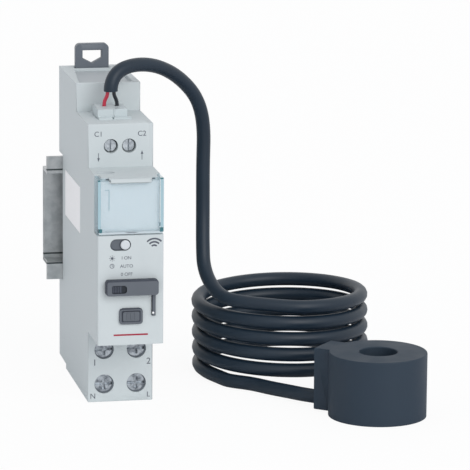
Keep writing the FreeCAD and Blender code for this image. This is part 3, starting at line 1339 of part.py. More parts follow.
def check():
    """Stop if any feature failed or any piece is not a sound solid."""
    doc.recompute()
    for thing in doc.Objects:
        if "Invalid" in thing.State or "Error" in thing.State:
            raise ValueError("%s is %s" % (thing.Name, thing.State))
    for thing in nodes:
        shape = thing.Shape
        if shape.isNull() or not shape.isValid() or not shape.Solids:
            raise ValueError(thing.Label + " is not a sound solid")


def export():
    """Write each piece under its label."""
    os.makedirs("parts", exist_ok=True)
    for thing in nodes:
        thing.Shape.exportStep("parts/%s.step" % thing.Label)
    print("%d pieces" % len(nodes))


make_tub()
make_cover()
make_side_label()
make_fascia()
make_window()
make_toggle()
make_selector()
make_button()
make_boards()
make_terminals()
make_sensor_terminals()
make_rail()
make_clips()
make_drive()
make_cord()
make_ring()
check()
export()
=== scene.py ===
import json
import math

import bmesh
import bpy
from mathutils import Matrix, Vector


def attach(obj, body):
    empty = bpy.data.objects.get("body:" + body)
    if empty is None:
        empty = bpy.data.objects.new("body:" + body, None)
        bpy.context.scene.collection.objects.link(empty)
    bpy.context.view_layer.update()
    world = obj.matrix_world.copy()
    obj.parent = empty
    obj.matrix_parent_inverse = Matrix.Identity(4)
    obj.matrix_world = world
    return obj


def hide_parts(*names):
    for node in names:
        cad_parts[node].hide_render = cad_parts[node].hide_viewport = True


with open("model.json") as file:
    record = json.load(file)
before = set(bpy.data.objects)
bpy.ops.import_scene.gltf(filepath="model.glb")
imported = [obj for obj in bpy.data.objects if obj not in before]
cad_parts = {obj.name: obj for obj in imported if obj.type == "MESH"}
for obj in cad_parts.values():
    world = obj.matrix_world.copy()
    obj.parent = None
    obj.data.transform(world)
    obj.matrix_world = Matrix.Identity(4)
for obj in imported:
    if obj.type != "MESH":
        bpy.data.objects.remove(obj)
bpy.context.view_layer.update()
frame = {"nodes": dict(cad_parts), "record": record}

# Sizes in millimetres, measured as in the solids: X from the device's middle, Y from the rail plane
MM = 0.001
RAIL_PLANE = 27.4
SEAM = 7.65
CORD_THICK = 3.85
INK_THICK = 0.02

# Depths of the surfaces that look to the front
FOOT_BACK = -35.7
SCREW_WELL = -43.4
TERMINAL_FACE = -44.0
WINDOW_INSIDE = -58.75
PILL_FACE = -59.5
NOSE_FACE = -60.0
BEZEL_FACE = -60.5
TAIL_FACE = -60.7
BAR_FLOOR = -61.85
BAR_FACE = -62.3

# Levels of the surfaces that look up
NOSE_HOLLOW = 63.6
BLOCK_SHELF = 76.2
SHOULDER_TRAY = 83.1

# The toggle's knob and pill, and the middles of the four large screws
KNOB_X = -1.45
PILL_Z = 46.6
LARGE_SCREWS = (("n", -4.4, 4.95), ("l", 4.4, 4.95), ("1", -4.4, 14.5), ("2", 4.4, 14.5))

# Most of a noise's values lie between these
NOISE_LOW = 0.3
NOISE_HIGH = 0.7
# Places of the Mix node's colour sockets, whose names repeat
MIX_SHARE, MIX_LOW, MIX_HIGH, MIX_RESULT = 0, 6, 7, 2

# How a shape is read from its facets: what is one corner, one flat face, one smooth surface or an edge
WELD = 0.002
FLAT_TURN = math.radians(0.6)
SMOOTH_TURN = math.radians(32)
EDGE_TURN = math.radians(35)

nodes = frame["nodes"]


def at(x, y, z):
    """A point given from the rail plane in millimetres, in the row's metres."""
    return Vector((x * MM, (y + RAIL_PLANE) * MM, z * MM))


# Finishes
def linear(colour):
    """An sRGB hex colour as the linear values that a shader takes."""
    parts = [int(colour[i:i + 2], 16) / 255 for i in (1, 3, 5)]
    return (*[p / 12.92 if p <= 0.04045 else ((p + 0.055) / 1.055) ** 2.4 for p in parts], 1.0)


def add(tree, kind, links=None, **settings):
    """Add a node, with what its sockets hold or link to."""
    made = tree.nodes.new(kind)
    for key, value in settings.items():
        setattr(made, key, value)
    for socket, value in (links or {}).items():
        if isinstance(value, bpy.types.NodeSocket):
            tree.links.new(value, made.inputs[socket])
        else:
            made.inputs[socket].default_value = value
    return made


def new_finish(name):
    """A material with nothing but its output."""
    material = bpy.data.materials.new(name)
    material.use_nodes = True
    material.node_tree.nodes.clear()
    return material, add(material.node_tree, "ShaderNodeOutputMaterial")


def grit(tree, size, detail=3.0, rough=0.5, stretch=(1, 1, 1)):
    """Noise whose features are about size millimetres across, on the piece's own coordinates."""
    place = add(tree, "ShaderNodeTexCoord").outputs["Object"]
    stretched = add(tree, "ShaderNodeMapping", {"Vector": place, "Scale": stretch})
    noise = add(tree, "ShaderNodeTexNoise", {
        "Vector": stretched.outputs["Vector"], "Scale": 1 / (size * MM), "Detail": detail, "Roughness": rough,
    })
    return noise.outputs["Fac"]


def moulded(name, low, high, rough=(0.5, 0.62), patch=5.0, grain=0.35, deep=0.012, ior=1.53, shine=0.5):
    """A moulding: faint colour drift, spark-eroded grain, and gloss that changes with it."""
    material, out = new_finish(name)
    tree = material.node_tree
    drift = grit(tree, patch, 2.0)
    colour = add(tree, "ShaderNodeMix", {MIX_SHARE: drift, MIX_LOW: linear(low), MIX_HIGH: linear(high)},
                 data_type="RGBA")
    gloss = add(tree, "ShaderNodeMapRange", {
        "Value": drift, "From Min": NOISE_LOW, "From Max": NOISE_HIGH,
        "To Min": rough[0], "To Max": rough[1],
    })
    bump = add(tree, "ShaderNodeBump", {
        "Height": grit(tree, grain, 2.0, 0.6), "Strength": 0.6, "Distance": deep * MM,
    })
    shader = add(tree, "ShaderNodeBsdfPrincipled", {
        "Base Color": colour.outputs[MIX_RESULT], "Roughness": gloss.outputs["Result"],
        "Normal": bump.outputs["Normal"], "IOR": ior, "Specular IOR Level": shine,
    })
    tree.links.new(shader.outputs["BSDF"], out.inputs["Surface"])
    return material


# A mask for the painted shadow lines at the rail's fold edges
def lines_across(tree, levels, half, back):
    """1 within half millimetres of any of the levels along Z, and 0 elsewhere and behind a depth."""
    place = add(tree, "ShaderNodeSeparateXYZ", {0: add(tree, "ShaderNodeTexCoord").outputs["Object"]})
    total = 0.0
    for level in levels:
        near = add(tree, "ShaderNodeMath", {0: place.outputs["Z"], 1: level * MM, 2: half * MM},
                   operation="COMPARE")
        total = add(tree, "ShaderNodeMath", {0: near.outputs[0], 1: total}, operation="MAXIMUM").outputs[0]
    front = add(tree, "ShaderNodeMath", {0: place.outputs["Y"], 1: at(0, back, 0).y}, operation="LESS_THAN")
    return add(tree, "ShaderNodeMath", {0: total, 1: front.outputs[0]}, operation="MULTIPLY").outputs[0]


def metal(name, low, high, rough=(0.28, 0.42), patch=1.2, line=0.25, stretch=(1, 1, 1), fold_shadows=None):
    """A metal: cloudy plating in its colour, rolling marks in its gloss, and fine scratches in its height."""
    material, out = new_finish(name)
    tree = material.node_tree
    cloud = add(tree, "ShaderNodeMapRange", {"Value": grit(tree, patch), "From Min": 0.36, "From Max": 0.62})
    scratch = grit(tree, line, 4.0, 0.7, stretch)
    colour = add(tree, "ShaderNodeMix", {
        MIX_SHARE: cloud.outputs["Result"], MIX_LOW: linear(low), MIX_HIGH: linear(high),
    }, data_type="RGBA")
    # Painted shadow: darker lines at the given levels stand in for the shade at the fold edges
    if fold_shadows:
        colour = add(tree, "ShaderNodeMix", {
            MIX_SHARE: lines_across(tree, *fold_shadows), MIX_LOW: colour.outputs[MIX_RESULT],
            MIX_HIGH: linear("#4E5556"),
        }, data_type="RGBA")
    gloss = add(tree, "ShaderNodeMapRange", {
        "Value": scratch, "From Min": NOISE_LOW, "From Max": NOISE_HIGH,
        "To Min": rough[0], "To Max": rough[1],
    })
    bump = add(tree, "ShaderNodeBump", {"Height": scratch, "Strength": 0.5, "Distance": 0.01 * MM})
    shader = add(tree, "ShaderNodeBsdfPrincipled", {
        "Base Color": colour.outputs[MIX_RESULT], "Roughness": gloss.outputs["Result"],
        "Normal": bump.outputs["Normal"], "Metallic": 1.0,
    })
    tree.links.new(shader.outputs["BSDF"], out.inputs["Surface"])
    return material


def clear_window():
    """Clear polycarbonate, faintly blue: glossy, and denser where the eye looks along a wall."""
    material, out = new_finish("tinted_polycarbonate")
    tree = material.node_tree
    drift = grit(tree, 6.0, 2.0)
    colour = add(tree, "ShaderNodeMix", {
        MIX_SHARE: drift, MIX_LOW: linear("#9DC2D0"), MIX_HIGH: linear("#A9CBD7"),
    }, data_type="RGBA")
    gloss = add(tree, "ShaderNodeMapRange", {
        "Value": drift, "From Min": NOISE_LOW, "From Max": NOISE_HIGH, "To Min": 0.10, "To Max": 0.2,
    })
    edge = add(tree, "ShaderNodeLayerWeight", {"Blend": 0.35})
    cover = add(tree, "ShaderNodeMapRange", {
        "Value": edge.outputs["Facing"], "From Min": 0.0, "From Max": 1.0, "To Min": 0.17, "To Max": 0.42,
    })
    shader = add(tree, "ShaderNodeBsdfPrincipled", {
        "Base Color": colour.outputs[MIX_RESULT], "Roughness": gloss.outputs["Result"],
        "Alpha": cover.outputs["Result"], "IOR": 1.58,
    })
    tree.links.new(shader.outputs["BSDF"], out.inputs["Surface"])
    return material


def sheath_finish():
    """Matt flexible PVC: a dark blue-black with faint drawn streaks and a chalky bloom."""
    material, out = new_finish("flexible_pvc_sheath")
    tree = material.node_tree
    bloom = grit(tree, 9.0)
    colour = add(tree, "ShaderNodeMix", {
        MIX_SHARE: bloom, MIX_LOW: linear("#0F202E"), MIX_HIGH: linear("#192B3A"),
    }, data_type="RGBA")
    gloss = add(tree, "ShaderNodeMapRange", {
        "Value": bloom, "From Min": NOISE_LOW, "From Max": NOISE_HIGH, "To Min": 0.4, "To Max": 0.52,
    })
    bump = add(tree, "ShaderNodeBump", {
        "Height": grit(tree, 0.5, 3.0, 0.6), "Strength": 0.5, "Distance": 0.02 * MM,
    })
    shader = add(tree, "ShaderNodeBsdfPrincipled", {
        "Base Color": colour.outputs[MIX_RESULT], "Roughness": gloss.outputs["Result"],
        "Normal": bump.outputs["Normal"], "IOR": 1.52, "Specular IOR Level": 0.36,
    })
    tree.links.new(shader.outputs["BSDF"], out.inputs["Surface"])
    return material


def ink(name, colour):
    """A thin even coat, such as pad-printed ink, and painted shade and painted light: one colour, and gloss
    that is slightly uneven.
    """
    material, out = new_finish(name)
    tree = material.node_tree
    gloss = add(tree, "ShaderNodeMapRange", {
        "Value": grit(tree, 0.4, 2.0), "From Min": 0.2, "From Max": 0.8, "To Min": 0.5, "To Max": 0.7,
    })
    shader = add(tree, "ShaderNodeBsdfPrincipled", {
        "Base Color": linear(colour), "Roughness": gloss.outputs["Result"],
    })
    tree.links.new(shader.outputs["BSDF"], out.inputs["Surface"])
    return material


# Each moulding's grain is drawn a few times coarser than the real one, so that it shows in the render.
# Light grey polyamide of the case: matt, with a fine eroded grain
case_grey = moulded("light_grey_polyamide", "#C6CED0", "#CDD5D6", grain=0.5, deep=0.01)
# The same polyamide on the floors of the tray and the thumb hollow, painted darker as shade, with a coarser
# grain
painted_floor_shade = moulded("floor_shade_grey_polyamide", "#B2B9BC", "#BAC0C3", grain=0.7, deep=0.02)
# Clear polycarbonate of the label window: a pale blue veil with glossy faces
window_clear = clear_window()
# White card and label stock: soft and slightly fibrous
label_white = moulded("white_label_stock", "#FAFBFB", "#FFFFFF", rough=(0.6, 0.75), patch=2.0, grain=0.2)
# Dark polyamide of the bar, the button and the toggle: satin, with light catching its edges
control_dark = moulded("dark_grey_polyamide", "#585E67", "#62686F", rough=(0.42, 0.55), grain=0.4, shine=0.4)
# The same polyamide painted darker and duller as shade, where it lies deeper or turns from the light
painted_shade_dark = moulded("shade_painted_grey_polyamide", "#363B46", "#414651", rough=(0.5, 0.6), grain=0.3, shine=0.3)
# The same polyamide on the ribs in the bar's window, painted in half shade
painted_half_shade = moulded("half_shade_grey_polyamide", "#474D58", "#4E5460", rough=(0.5, 0.6), grain=0.3, shine=0.3)
# The same polyamide painted nearly black as the shade of a wall that faces away from the light
painted_deep_shade = moulded("deep_shade_grey_polyamide", "#1E242B", "#282E36", rough=(0.5, 0.6), grain=0.3, shine=0.3)
# White PBT of the plug block: a little glossier than the case
white_pbt = moulded("white_pbt", "#C3CED0", "#CCD5D7", rough=(0.35, 0.48), grain=0.4, deep=0.006)
# White PBT of the toggle's knob: brighter than the case round it
knob_white = moulded("bright_white_pbt", "#CBD1D6", "#D4D9DD", rough=(0.35, 0.45), grain=0.3, deep=0.006)
# Acetal of the rail clips: dark, smooth and waxy
clip_acetal = moulded("dark_grey_acetal", "#5F666F", "#6B727A", rough=(0.4, 0.52), grain=0.5, deep=0.006,
                      shine=0.4)
# Zinc-plated steel of the large screws: bright, with cloudy grey patches left by the driver and the bath
screw_zinc = metal("zinc_plated_steel", "#757B82", "#B6BDC3", rough=(0.25, 0.4), patch=1.1, line=0.2)
# The same plating on the small screws and the window's pins: newer and evenly bright
small_zinc = metal("bright_zinc_plated_steel", "#A4ABB1", "#C9CFD4", rough=(0.25, 0.4), patch=0.9, line=0.2)
# Zinc-plated strip of the clamp cages: grey and a little dull
cage_zinc = metal("zinc_plated_cage_steel", "#8E9398", "#A7ABB0", rough=(0.35, 0.5))
# Galvanised strip of the rail: pale, with rolling lines along its length, and painted shadow lines at its
# fold edges
rail_zinc = metal("galvanised_rail_strip", "#AEB2B4", "#C2C5C6", rough=(0.32, 0.5), patch=2.5, line=0.5,
                  stretch=(0.06, 1, 1), fold_shadows=((55.75, 30.6, 29.15), 0.24, 7.2))
# Tinned copper of the terminal bars and contacts: silvery, with copper glowing through the thin coat
copper_tinned = metal("tinned_copper", "#B98A5E", "#D0B79A", rough=(0.3, 0.45))
# Enamelled wire of the windings: a warm red-brown gloss that runs round the winding
copper_wire = metal("enamelled_copper_wire", "#A4552B", "#B9683A", rough=(0.25, 0.35), line=0.3,
                    stretch=(1, 1, 4))
# Nickel-plated iron of the drive and the shields: an even satin grey
iron_nickel = metal("nickel_plated_iron", "#8D9093", "#A2A5A7", rough=(0.35, 0.5))
# Wound silicon steel of the sensor's core: dark grey, with the strip's edges as fine rings
wound_strip = metal("silicon_steel_strip", "#6A6E72", "#7C8084", rough=(0.4, 0.55), line=0.3,
                    stretch=(1, 1, 0.1))
# Glass epoxy of the boards under solder resist: a glossy mid green with the glass cloth's faint unevenness
board_green = moulded("green_glass_epoxy", "#25603C", "#2E6E47", rough=(0.3, 0.42), patch=3.0, grain=0.6)
# Moulded epoxy of chips and capacitors: a dull black
epoxy_black = moulded("black_moulded_epoxy", "#24262A", "#2E3035", rough=(0.45, 0.6))
# Cast lens of the status light: smooth, glossy and pale green
light_lens = moulded("pale_green_lens", "#A5E2AE", "#B4EABC", rough=(0.15, 0.25), ior=1.49)
# Extruded sheath of the cord: dark and matt
sheath_pvc = sheath_finish()
# Insulation of the two cores: smooth PVC, a little shiny
core_red_pvc = moulded("red_core_pvc", "#B0243C", "#C23048", rough=(0.3, 0.4), grain=0.4, deep=0.004)
core_black_pvc = moulded("black_core_pvc", "#0E151C", "#18202A", rough=(0.35, 0.45), grain=0.4, deep=0.004)
# Potted ring housing: matt dark ABS with an even grain
ring_abs = moulded("dark_blue_grey_abs", "#243240", "#2C3A47", rough=(0.55, 0.7), patch=8.0, grain=0.6,
                   deep=0.02, shine=0.3)
# Pad-printed inks of the marks, the stripe and the tail's dot: flat, with soft edges to their gloss
mark_ink = ink("dark_grey_ink", "#565B66")
stripe_ink = ink("red_ink", "#A01F38")
dot_ink = ink("white_ink", "#F3F5F5")
# Painted shade under the window's ledge, in its nail notch and in the screw wells: soft greys
ledge_shade = ink("ledge_shade_paint", "#A3ACAC")
notch_shade = ink("notch_shade_paint", "#7D838B")
well_shade = ink("well_shade_paint", "#626971")
# Painted shade for clear polycarbonate seen through its thickness at a corner: a deep teal
painted_corner_shade = ink("teal_corner_shade_paint", "#3A7078")
# Painted light for the same wall seen on its end, where it gathers light: pale teal along the sides, pale
# grey along the lip
painted_edge_light = ink("teal_edge_light_paint", "#A4C2CB")
painted_lip_light = ink("grey_lip_light_paint", "#C3CFD4")

FINISHES = {
    case_grey: ["housing_tub", "side_cover", "front_fascia"],
    window_clear: ["label_window"],
    label_white: ["label_card", "side_label"],
    control_dark: ["toggle_switch", "pair_button", "pair_switch"],
    # The bar and the bezel painted in shade, so that their sides read dark round the lighter faces laid on
    # them
    painted_shade_dark: ["mode_slider", "button_bezel"],
    white_pbt: ["ct_terminal_block", "relay_bobbin"],
    knob_white: ["toggle_knob"],
    clip_acetal: ["upper_rail_clip", "lower_rail_clip", "contact_pusher", "relay_base"],
    screw_zinc: ["terminal_screw_n", "terminal_screw_l", "terminal_screw_1", "terminal_screw_2"],
    small_zinc: ["ct_screw_c1", "ct_screw_c2", "window_hinge_pins"],
    cage_zinc: ["terminal_cage_n", "terminal_cage_l", "terminal_cage_1", "terminal_cage_2", "ct_cage_c1",
                "ct_cage_c2"],
    copper_tinned: ["terminal_bar_n", "terminal_bar_l", "terminal_bar_1", "terminal_bar_2",
                    "moving_contact_spring", "fixed_contact", "selector_wiper"],
    copper_wire: ["relay_winding", "torus_winding"],
    rail_zinc: ["din_rail"],
    board_green: ["front_pcb", "main_pcb"],
    iron_nickel: ["relay_yoke", "relay_core", "relay_armature", "power_transformer", "radio_module"],
    wound_strip: ["torus_core"],
    epoxy_black: ["bulk_capacitor", "suppression_capacitor", "metering_chip"],
    light_lens: ["status_led"],
    sheath_pvc: ["cord_lead", "cord_coil", "cord_tail"],
    core_red_pvc: ["core_red"],
    core_black_pvc: ["core_black"],
    ring_abs: ["torus_housing", "torus_lid"],
}
finish_of = {name: material for material, names in FINISHES.items() for name in names}
for name, node in nodes.items():
    node.data.materials.clear()
    node.data.materials.append(finish_of[name])


# Ways to make a piece
def show(name, mesh, material, body):
    """A finished piece at the origin that rides on a body."""
    piece = bpy.data.objects.new(name, mesh)
    bpy.context.scene.collection.objects.link(piece)
    mesh.materials.clear()
    mesh.materials.append(material)
    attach(piece, body)
    return piece


def body_of(node):
    """The body that a node belongs to."""
    for body, members in frame["record"]["behaviour"]["bodies"].items():
        if node in members:
            return body
    raise ValueError(node)


def oval(x, y, half_wide, half_deep, sides=24):
    """An ellipse as a closed list of points."""
    return [(x + half_wide * math.cos(math.tau * i / sides), y + half_deep * math.sin(math.tau * i / sides))
            for i in range(sides)]


def disc(x, z, radius, sides=28):
    """A circle as a closed list of points."""
    return oval(x, z, radius, radius, sides)


def box(left, low, right, high):
    """A rectangle as a closed list of points."""
    return [(left, low), (right, low), (right, high), (left, high)]


def rounded(left, low, right, high, radius, right_radius=None):
    """A rectangle with round corners as a closed list of points, its right end with a radius of its own."""
    end = radius if right_radius is None else right_radius
    corners = ((right - end, high - end, end), (left + radius, high - radius, radius),
               (left + radius, low + radius, radius), (right - end, low + end, end))
    steps = 6
    points = []
    for quarter, (x, y, r) in enumerate(corners):
        for i in range(steps + 1):
            turn = math.pi / 2 * (quarter + i / steps)
            points.append((x + r * math.cos(turn), y + r * math.sin(turn)))
    return points


def prism(outline, low, high):
    """A solid with a flat outline in millimetres, X by Y, from one level to another."""
    work = bmesh.new()
    floor = work.faces.new([work.verts.new(at(x, y, low)) for x, y in outline])
    raised = bmesh.ops.extrude_face_region(work, geom=[floor])
    lifted = [part for part in raised["geom"] if isinstance(part, bmesh.types.BMVert)]
    bmesh.ops.translate(work, verts=lifted, vec=(0, 0, (high - low) * MM))
    bmesh.ops.recalc_face_normals(work, faces=work.faces)
    mesh = bpy.data.meshes.new("prism")
    work.to_mesh(mesh)
    work.free()
    return mesh


def hollowed(mesh, cutters):
    """A mesh with prisms cut out of it."""
    body = bpy.data.objects.new("blank", mesh)
    bpy.context.scene.collection.objects.link(body)
    tools = []
    for cutter in cutters:
        tool = bpy.data.objects.new("tool", cutter)
        bpy.context.scene.collection.objects.link(tool)
        cut = body.modifiers.new("cut", "BOOLEAN")
        cut.operation = "DIFFERENCE"
        cut.solver = "EXACT"
        cut.object = tool
        tools.append(tool)
    bpy.context.view_layer.update()
    shaped = body.evaluated_get(bpy.context.evaluated_depsgraph_get())
    result = bpy.data.meshes.new_from_object(shaped)
    for thing in [body, *tools]:
        bpy.data.objects.remove(thing)
    return result


def every_edge(middle, along):
    """Round every outer edge."""
    return True


def eased(node, radius, keep=every_edge, shortest=1.0, segments=2, cutters=(), lose=None, join=True):
    """Stand for a node with its facets joined and its long outer edges rounded as a mould leaves them."""
    work = bmesh.new()
    work.from_mesh(nodes[node].data)
    bmesh.ops.remove_doubles(work, verts=work.verts, dist=WELD * MM)
    if cutters:
        blank = bpy.data.meshes.new("blank")
        work.to_mesh(blank)
        work.free()
        work = bmesh.new()
        work.from_mesh(hollowed(blank, cutters))
    if lose:
        gone = [face for face in work.faces if lose(face.calc_center_median())]
        bmesh.ops.delete(work, geom=gone, context="FACES")
        bmesh.ops.holes_fill(work, edges=[edge for edge in work.edges if edge.is_boundary], sides=0)
        bmesh.ops.recalc_face_normals(work, faces=work.faces)
    if join:
        bmesh.ops.dissolve_limit(work, angle_limit=FLAT_TURN, verts=work.verts, edges=work.edges)
    weight = work.edges.layers.float.new("bevel_weight_edge")
    for edge in work.edges:
        if len(edge.link_faces) != 2:
            continue
        turn = edge.calc_face_angle_signed()
        edge.smooth = abs(turn) < SMOOTH_TURN
        middle = (edge.verts[0].co + edge.verts[1].co) / 2
        along = (edge.verts[1].co - edge.verts[0].co).normalized()
        if turn > EDGE_TURN and edge.calc_length() > shortest * MM and keep(middle, along):
            edge[weight] = 1.0
    for face in work.faces:
        face.smooth = True
    mesh = bpy.data.meshes.new(node + "_eased")
    work.to_mesh(mesh)
    work.free()
    piece = show(node + "_moulded", mesh, finish_of[node], body_of(node))
    rounding = piece.modifiers.new("edges", "BEVEL")
    rounding.width = radius * MM
    rounding.segments = segments
    rounding.limit_method = "WEIGHT"
    rounding.use_clamp_overlap = False
    rounding.harden_normals = True
    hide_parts(node)
    return piece


def flatten(name, source, matrix, material, body):
    """Make a text or curve a plain mesh, then put it in its place."""
    bpy.context.view_layer.update()
    shaped = source.evaluated_get(bpy.context.evaluated_depsgraph_get())
    mesh = bpy.data.meshes.new_from_object(shaped)
    bpy.data.objects.remove(source)
    mesh.transform(matrix)
    return show(name, mesh, material, body)


def on_face(x, face, z, lift=INK_THICK):
    """Turn a flat mark to the front and set it on a face."""
    return Matrix.Translation(at(x, face - lift, z)) @ Matrix.Rotation(math.radians(90), 4, "X")


def plate(name, outlines, face, material, body="housing", thick=0.03):
    """A thin plate on a front face, cut from closed outlines in millimetres: one inside another is a hole."""
    curve = bpy.data.curves.new(name, "CURVE")
    curve.dimensions = "2D"
    curve.fill_mode = "BOTH"
    curve.extrude = thick / 2 * MM
    for outline in outlines:
        spline = curve.splines.new("POLY")
        spline.points.add(len(outline) - 1)
        for point, (x, z) in zip(spline.points, outline):
            point.co = (x * MM, z * MM, 0, 1)
        spline.use_cyclic_u = True
    source = bpy.data.objects.new(name + "_outline", curve)
    bpy.context.scene.collection.objects.link(source)
    return flatten(name, source, on_face(0, face, 0, thick / 2), material, body)


def mark(name, words, x, z, face, tall):
    """Printed characters, tall millimetres high, centred on a place of a front face."""
    capital_share = 0.69
    curve = bpy.data.curves.new(name, "FONT")
    curve.body = words
    curve.size = tall / capital_share * MM
    curve.align_x = "CENTER"
    curve.align_y = "CENTER"
    curve.extrude = INK_THICK / 2 * MM
    source = bpy.data.objects.new(name + "_text", curve)
    bpy.context.scene.collection.objects.link(source)
    return flatten(name, source, on_face(x, face, z), mark_ink, "housing")


def lathed(name, profile, x, z, material, body):
    """A turned piece that faces the front: radius by depth from the rail plane, from its tip to its root."""
    sides = 48
    turns = [math.tau * i / sides for i in range(sides)]
    work = bmesh.new()
    rings = [[work.verts.new(at(x + r * math.cos(turn), y, z + r * math.sin(turn))) for turn in turns]
             for r, y in profile]
    for near, far in zip(rings, rings[1:]):
        for i in range(sides):
            work.faces.new((near[i], near[i - 1], far[i - 1], far[i]))
    work.faces.new(rings[0])
    work.faces.new(rings[-1])
    bmesh.ops.recalc_face_normals(work, faces=work.faces)
    for face in work.faces:
        face.smooth = len(face.verts) == 4
    mesh = bpy.data.meshes.new(name)
    work.to_mesh(mesh)
    work.free()
    return show(name, mesh, material, body)


# Mouldings that stand for their solids
def off_seam(middle, along):
    """Whether an edge is away from the joint between the tub and the cover."""
    return abs(middle.x - SEAM * MM) > 0.1 * MM


def bar_corner(middle, along):
    """Whether an edge is the lower right corner of the selector bar, beside its tail."""
    return abs(along.y) > 0.99 and middle.x > at(7.0, 0, 0).x and middle.z < at(0, 0, 33.6).z


def in_toggle_slot(middle):
    """Whether a face belongs to the toggle's slot, which its round knob hides."""
    return (abs(middle.z - PILL_Z * MM) < 0.64 * MM and at(-4.6, 0, 0).x < middle.x < at(-0.8, 0, 0).x
            and at(0, -59.47, 0).y < middle.y < at(0, -55.1, 0).y)


# The shallow tray moulded into the top of the shoulder, and the thumb hollow on the top of the nose
tray = prism([(-5.4, 0.4), (-7.7, -22.9), (7.0, -22.9), (7.0, 0.4)], SHOULDER_TRAY, 85.0)
hollow = prism(oval(-5.4, -51.7, 2.5, 1.65), NOSE_HOLLOW, 65.5)
eased("housing_tub", 0.22, off_seam, shortest=2.2, cutters=(tray, hollow))
eased("side_cover", 0.22, off_seam, shortest=2.2)
eased("mode_slider", 0.55, bar_corner, shortest=0.5, segments=4)
# Painted shade: darker plates on the floors of the tray and the thumb hollow
show("tray_floor_shade", prism([(-5.3, 0.3), (-7.55, -22.7), (6.85, -22.7), (6.9, 0.3)], SHOULDER_TRAY, 83.16),
     painted_floor_shade, "housing")
show("thumb_floor_shade", prism(oval(-5.4, -51.7, 2.44, 1.6), NOSE_HOLLOW, 63.65), painted_floor_shade, "housing")
eased("toggle_switch", 0.2, lambda middle, along: middle.y < at(0, -59.3, 0).y, shortest=0.05,
      lose=in_toggle_slot)
eased("front_fascia", 0.18, lambda middle, along: abs(middle.x) > 7.0 * MM, shortest=2.0)
eased("label_window", 0.25, shortest=1.6)
# The white block's two ways look like one above their feet, so the groove between them is closed there
eased("ct_terminal_block", 0.2, lambda middle, along: middle.z > 76.3 * MM)
for name, outline, low, high in (
    ("block_bridge", box(-0.47, -35.77, -0.13, -35.38), 76.9, 78.77),
    ("block_foot_left", box(-4.75, -37.9, -1.15, FOOT_BACK), BLOCK_SHELF, 76.7),
    ("block_foot_right", box(-0.65, -37.6, 4.05, FOOT_BACK), BLOCK_SHELF, 76.7),
):
    show(name, prism(outline, low, high), white_pbt, body_of("ct_terminal_block"))
eased("upper_rail_clip", 0.25)
eased("lower_rail_clip", 0.25)
eased("din_rail", 0.2, shortest=2.0)

# Prints
for name, words, x, z, tall in (
    ("mark_sensor_left", "C1", -5.97, 73.42, 1.35), ("mark_sensor_right", "C2", 5.77, 73.36, 1.35),
    ("mark_left_upper", "1", -6.98, 10.9, 1.7), ("mark_right_upper", "2", 7.74, 10.84, 1.7),
    ("mark_left_lower", "N", -7.5, 1.62, 1.4), ("mark_right_lower", "L", 7.71, 1.57, 1.4),
):
    mark(name, words, x, z, TERMINAL_FACE, tall)
for name, words, x, z in (("legend_on", "I ON", -1.13, 43.06), ("legend_auto", "AUTO", -1.10, 40.84),
                          ("legend_off", "0 OFF", -1.06, 38.65)):
    mark(name, words, x, z, NOSE_FACE, 0.86)

# Two thin arrows: a stem between two heights, and a head whose tip is at one of them
for name, x, low, high, tip, neck in (("arrow_down", -5.97, 66.05, 68.45, 66.05, 67.0),
                                      ("arrow_up", 5.79, 66.2, 68.8, 68.8, 67.85)):
    plate(name + "_stem", [box(x - 0.08, low + 0.1, x + 0.08, high - 0.1)], TERMINAL_FACE, mark_ink)
    plate(name + "_head", [[(x, tip), (x - 0.34, neck), (x + 0.34, neck)]], TERMINAL_FACE, mark_ink,
          thick=0.04)
plate("red_stripe", [box(-4.55, 22.0, 4.65, 22.44)], NOSE_FACE, stripe_ink)
plate("clock_rim", [disc(-5.0, 40.98, 0.62), disc(-5.0, 40.98, 0.48)], NOSE_FACE, mark_ink)
plate("clock_hand_long", [box(-5.06, 40.92, -4.94, 41.38)], NOSE_FACE, mark_ink, thick=0.04)
plate("clock_hand_short", [box(-5.0, 40.92, -4.66, 41.04)], NOSE_FACE, mark_ink, thick=0.05)

# The selector bar: a lighter face inside edges of painted shade, with its window open and its right end in
# painted shade, and its tail's face with a dot
plate("bar_face", [
    rounded(-6.62, 33.32, 7.12, 37.08, 0.5, 0.75), rounded(-5.4, 33.93, -1.35, 36.1, 0.45, 0.85),
], BAR_FACE, control_dark, "selector", 0.05)
plate("bar_window_end", [rounded(-2.6, 33.95, -1.4, 36.05, 0.1, 0.8)], BAR_FLOOR, painted_deep_shade, "selector", 0.05)
plate("tail_face", [rounded(5.82, 27.4, 6.6, 33.25, 0.1)], TAIL_FACE, control_dark, "selector")
plate("tail_dot", [disc(5.95, 28.15, 0.29, 24)], TAIL_FACE - 0.03, dot_ink, "selector")

# The button: its bezel's lighter face inside edges of painted shade, and painted shade in the gap round the
# ribbed key
KEY_HOLE = rounded(-2.5, 25.8, 2.6, 28.9, 0.25)
plate("bezel_face", [rounded(-3.08, 25.2, 3.18, 29.2, 0.75), KEY_HOLE], BEZEL_FACE, control_dark, thick=0.05)
plate("key_gap", [KEY_HOLE, rounded(-2.2, 26.05, 2.3, 28.65, 0.2)], BEZEL_FACE, painted_shade_dark)

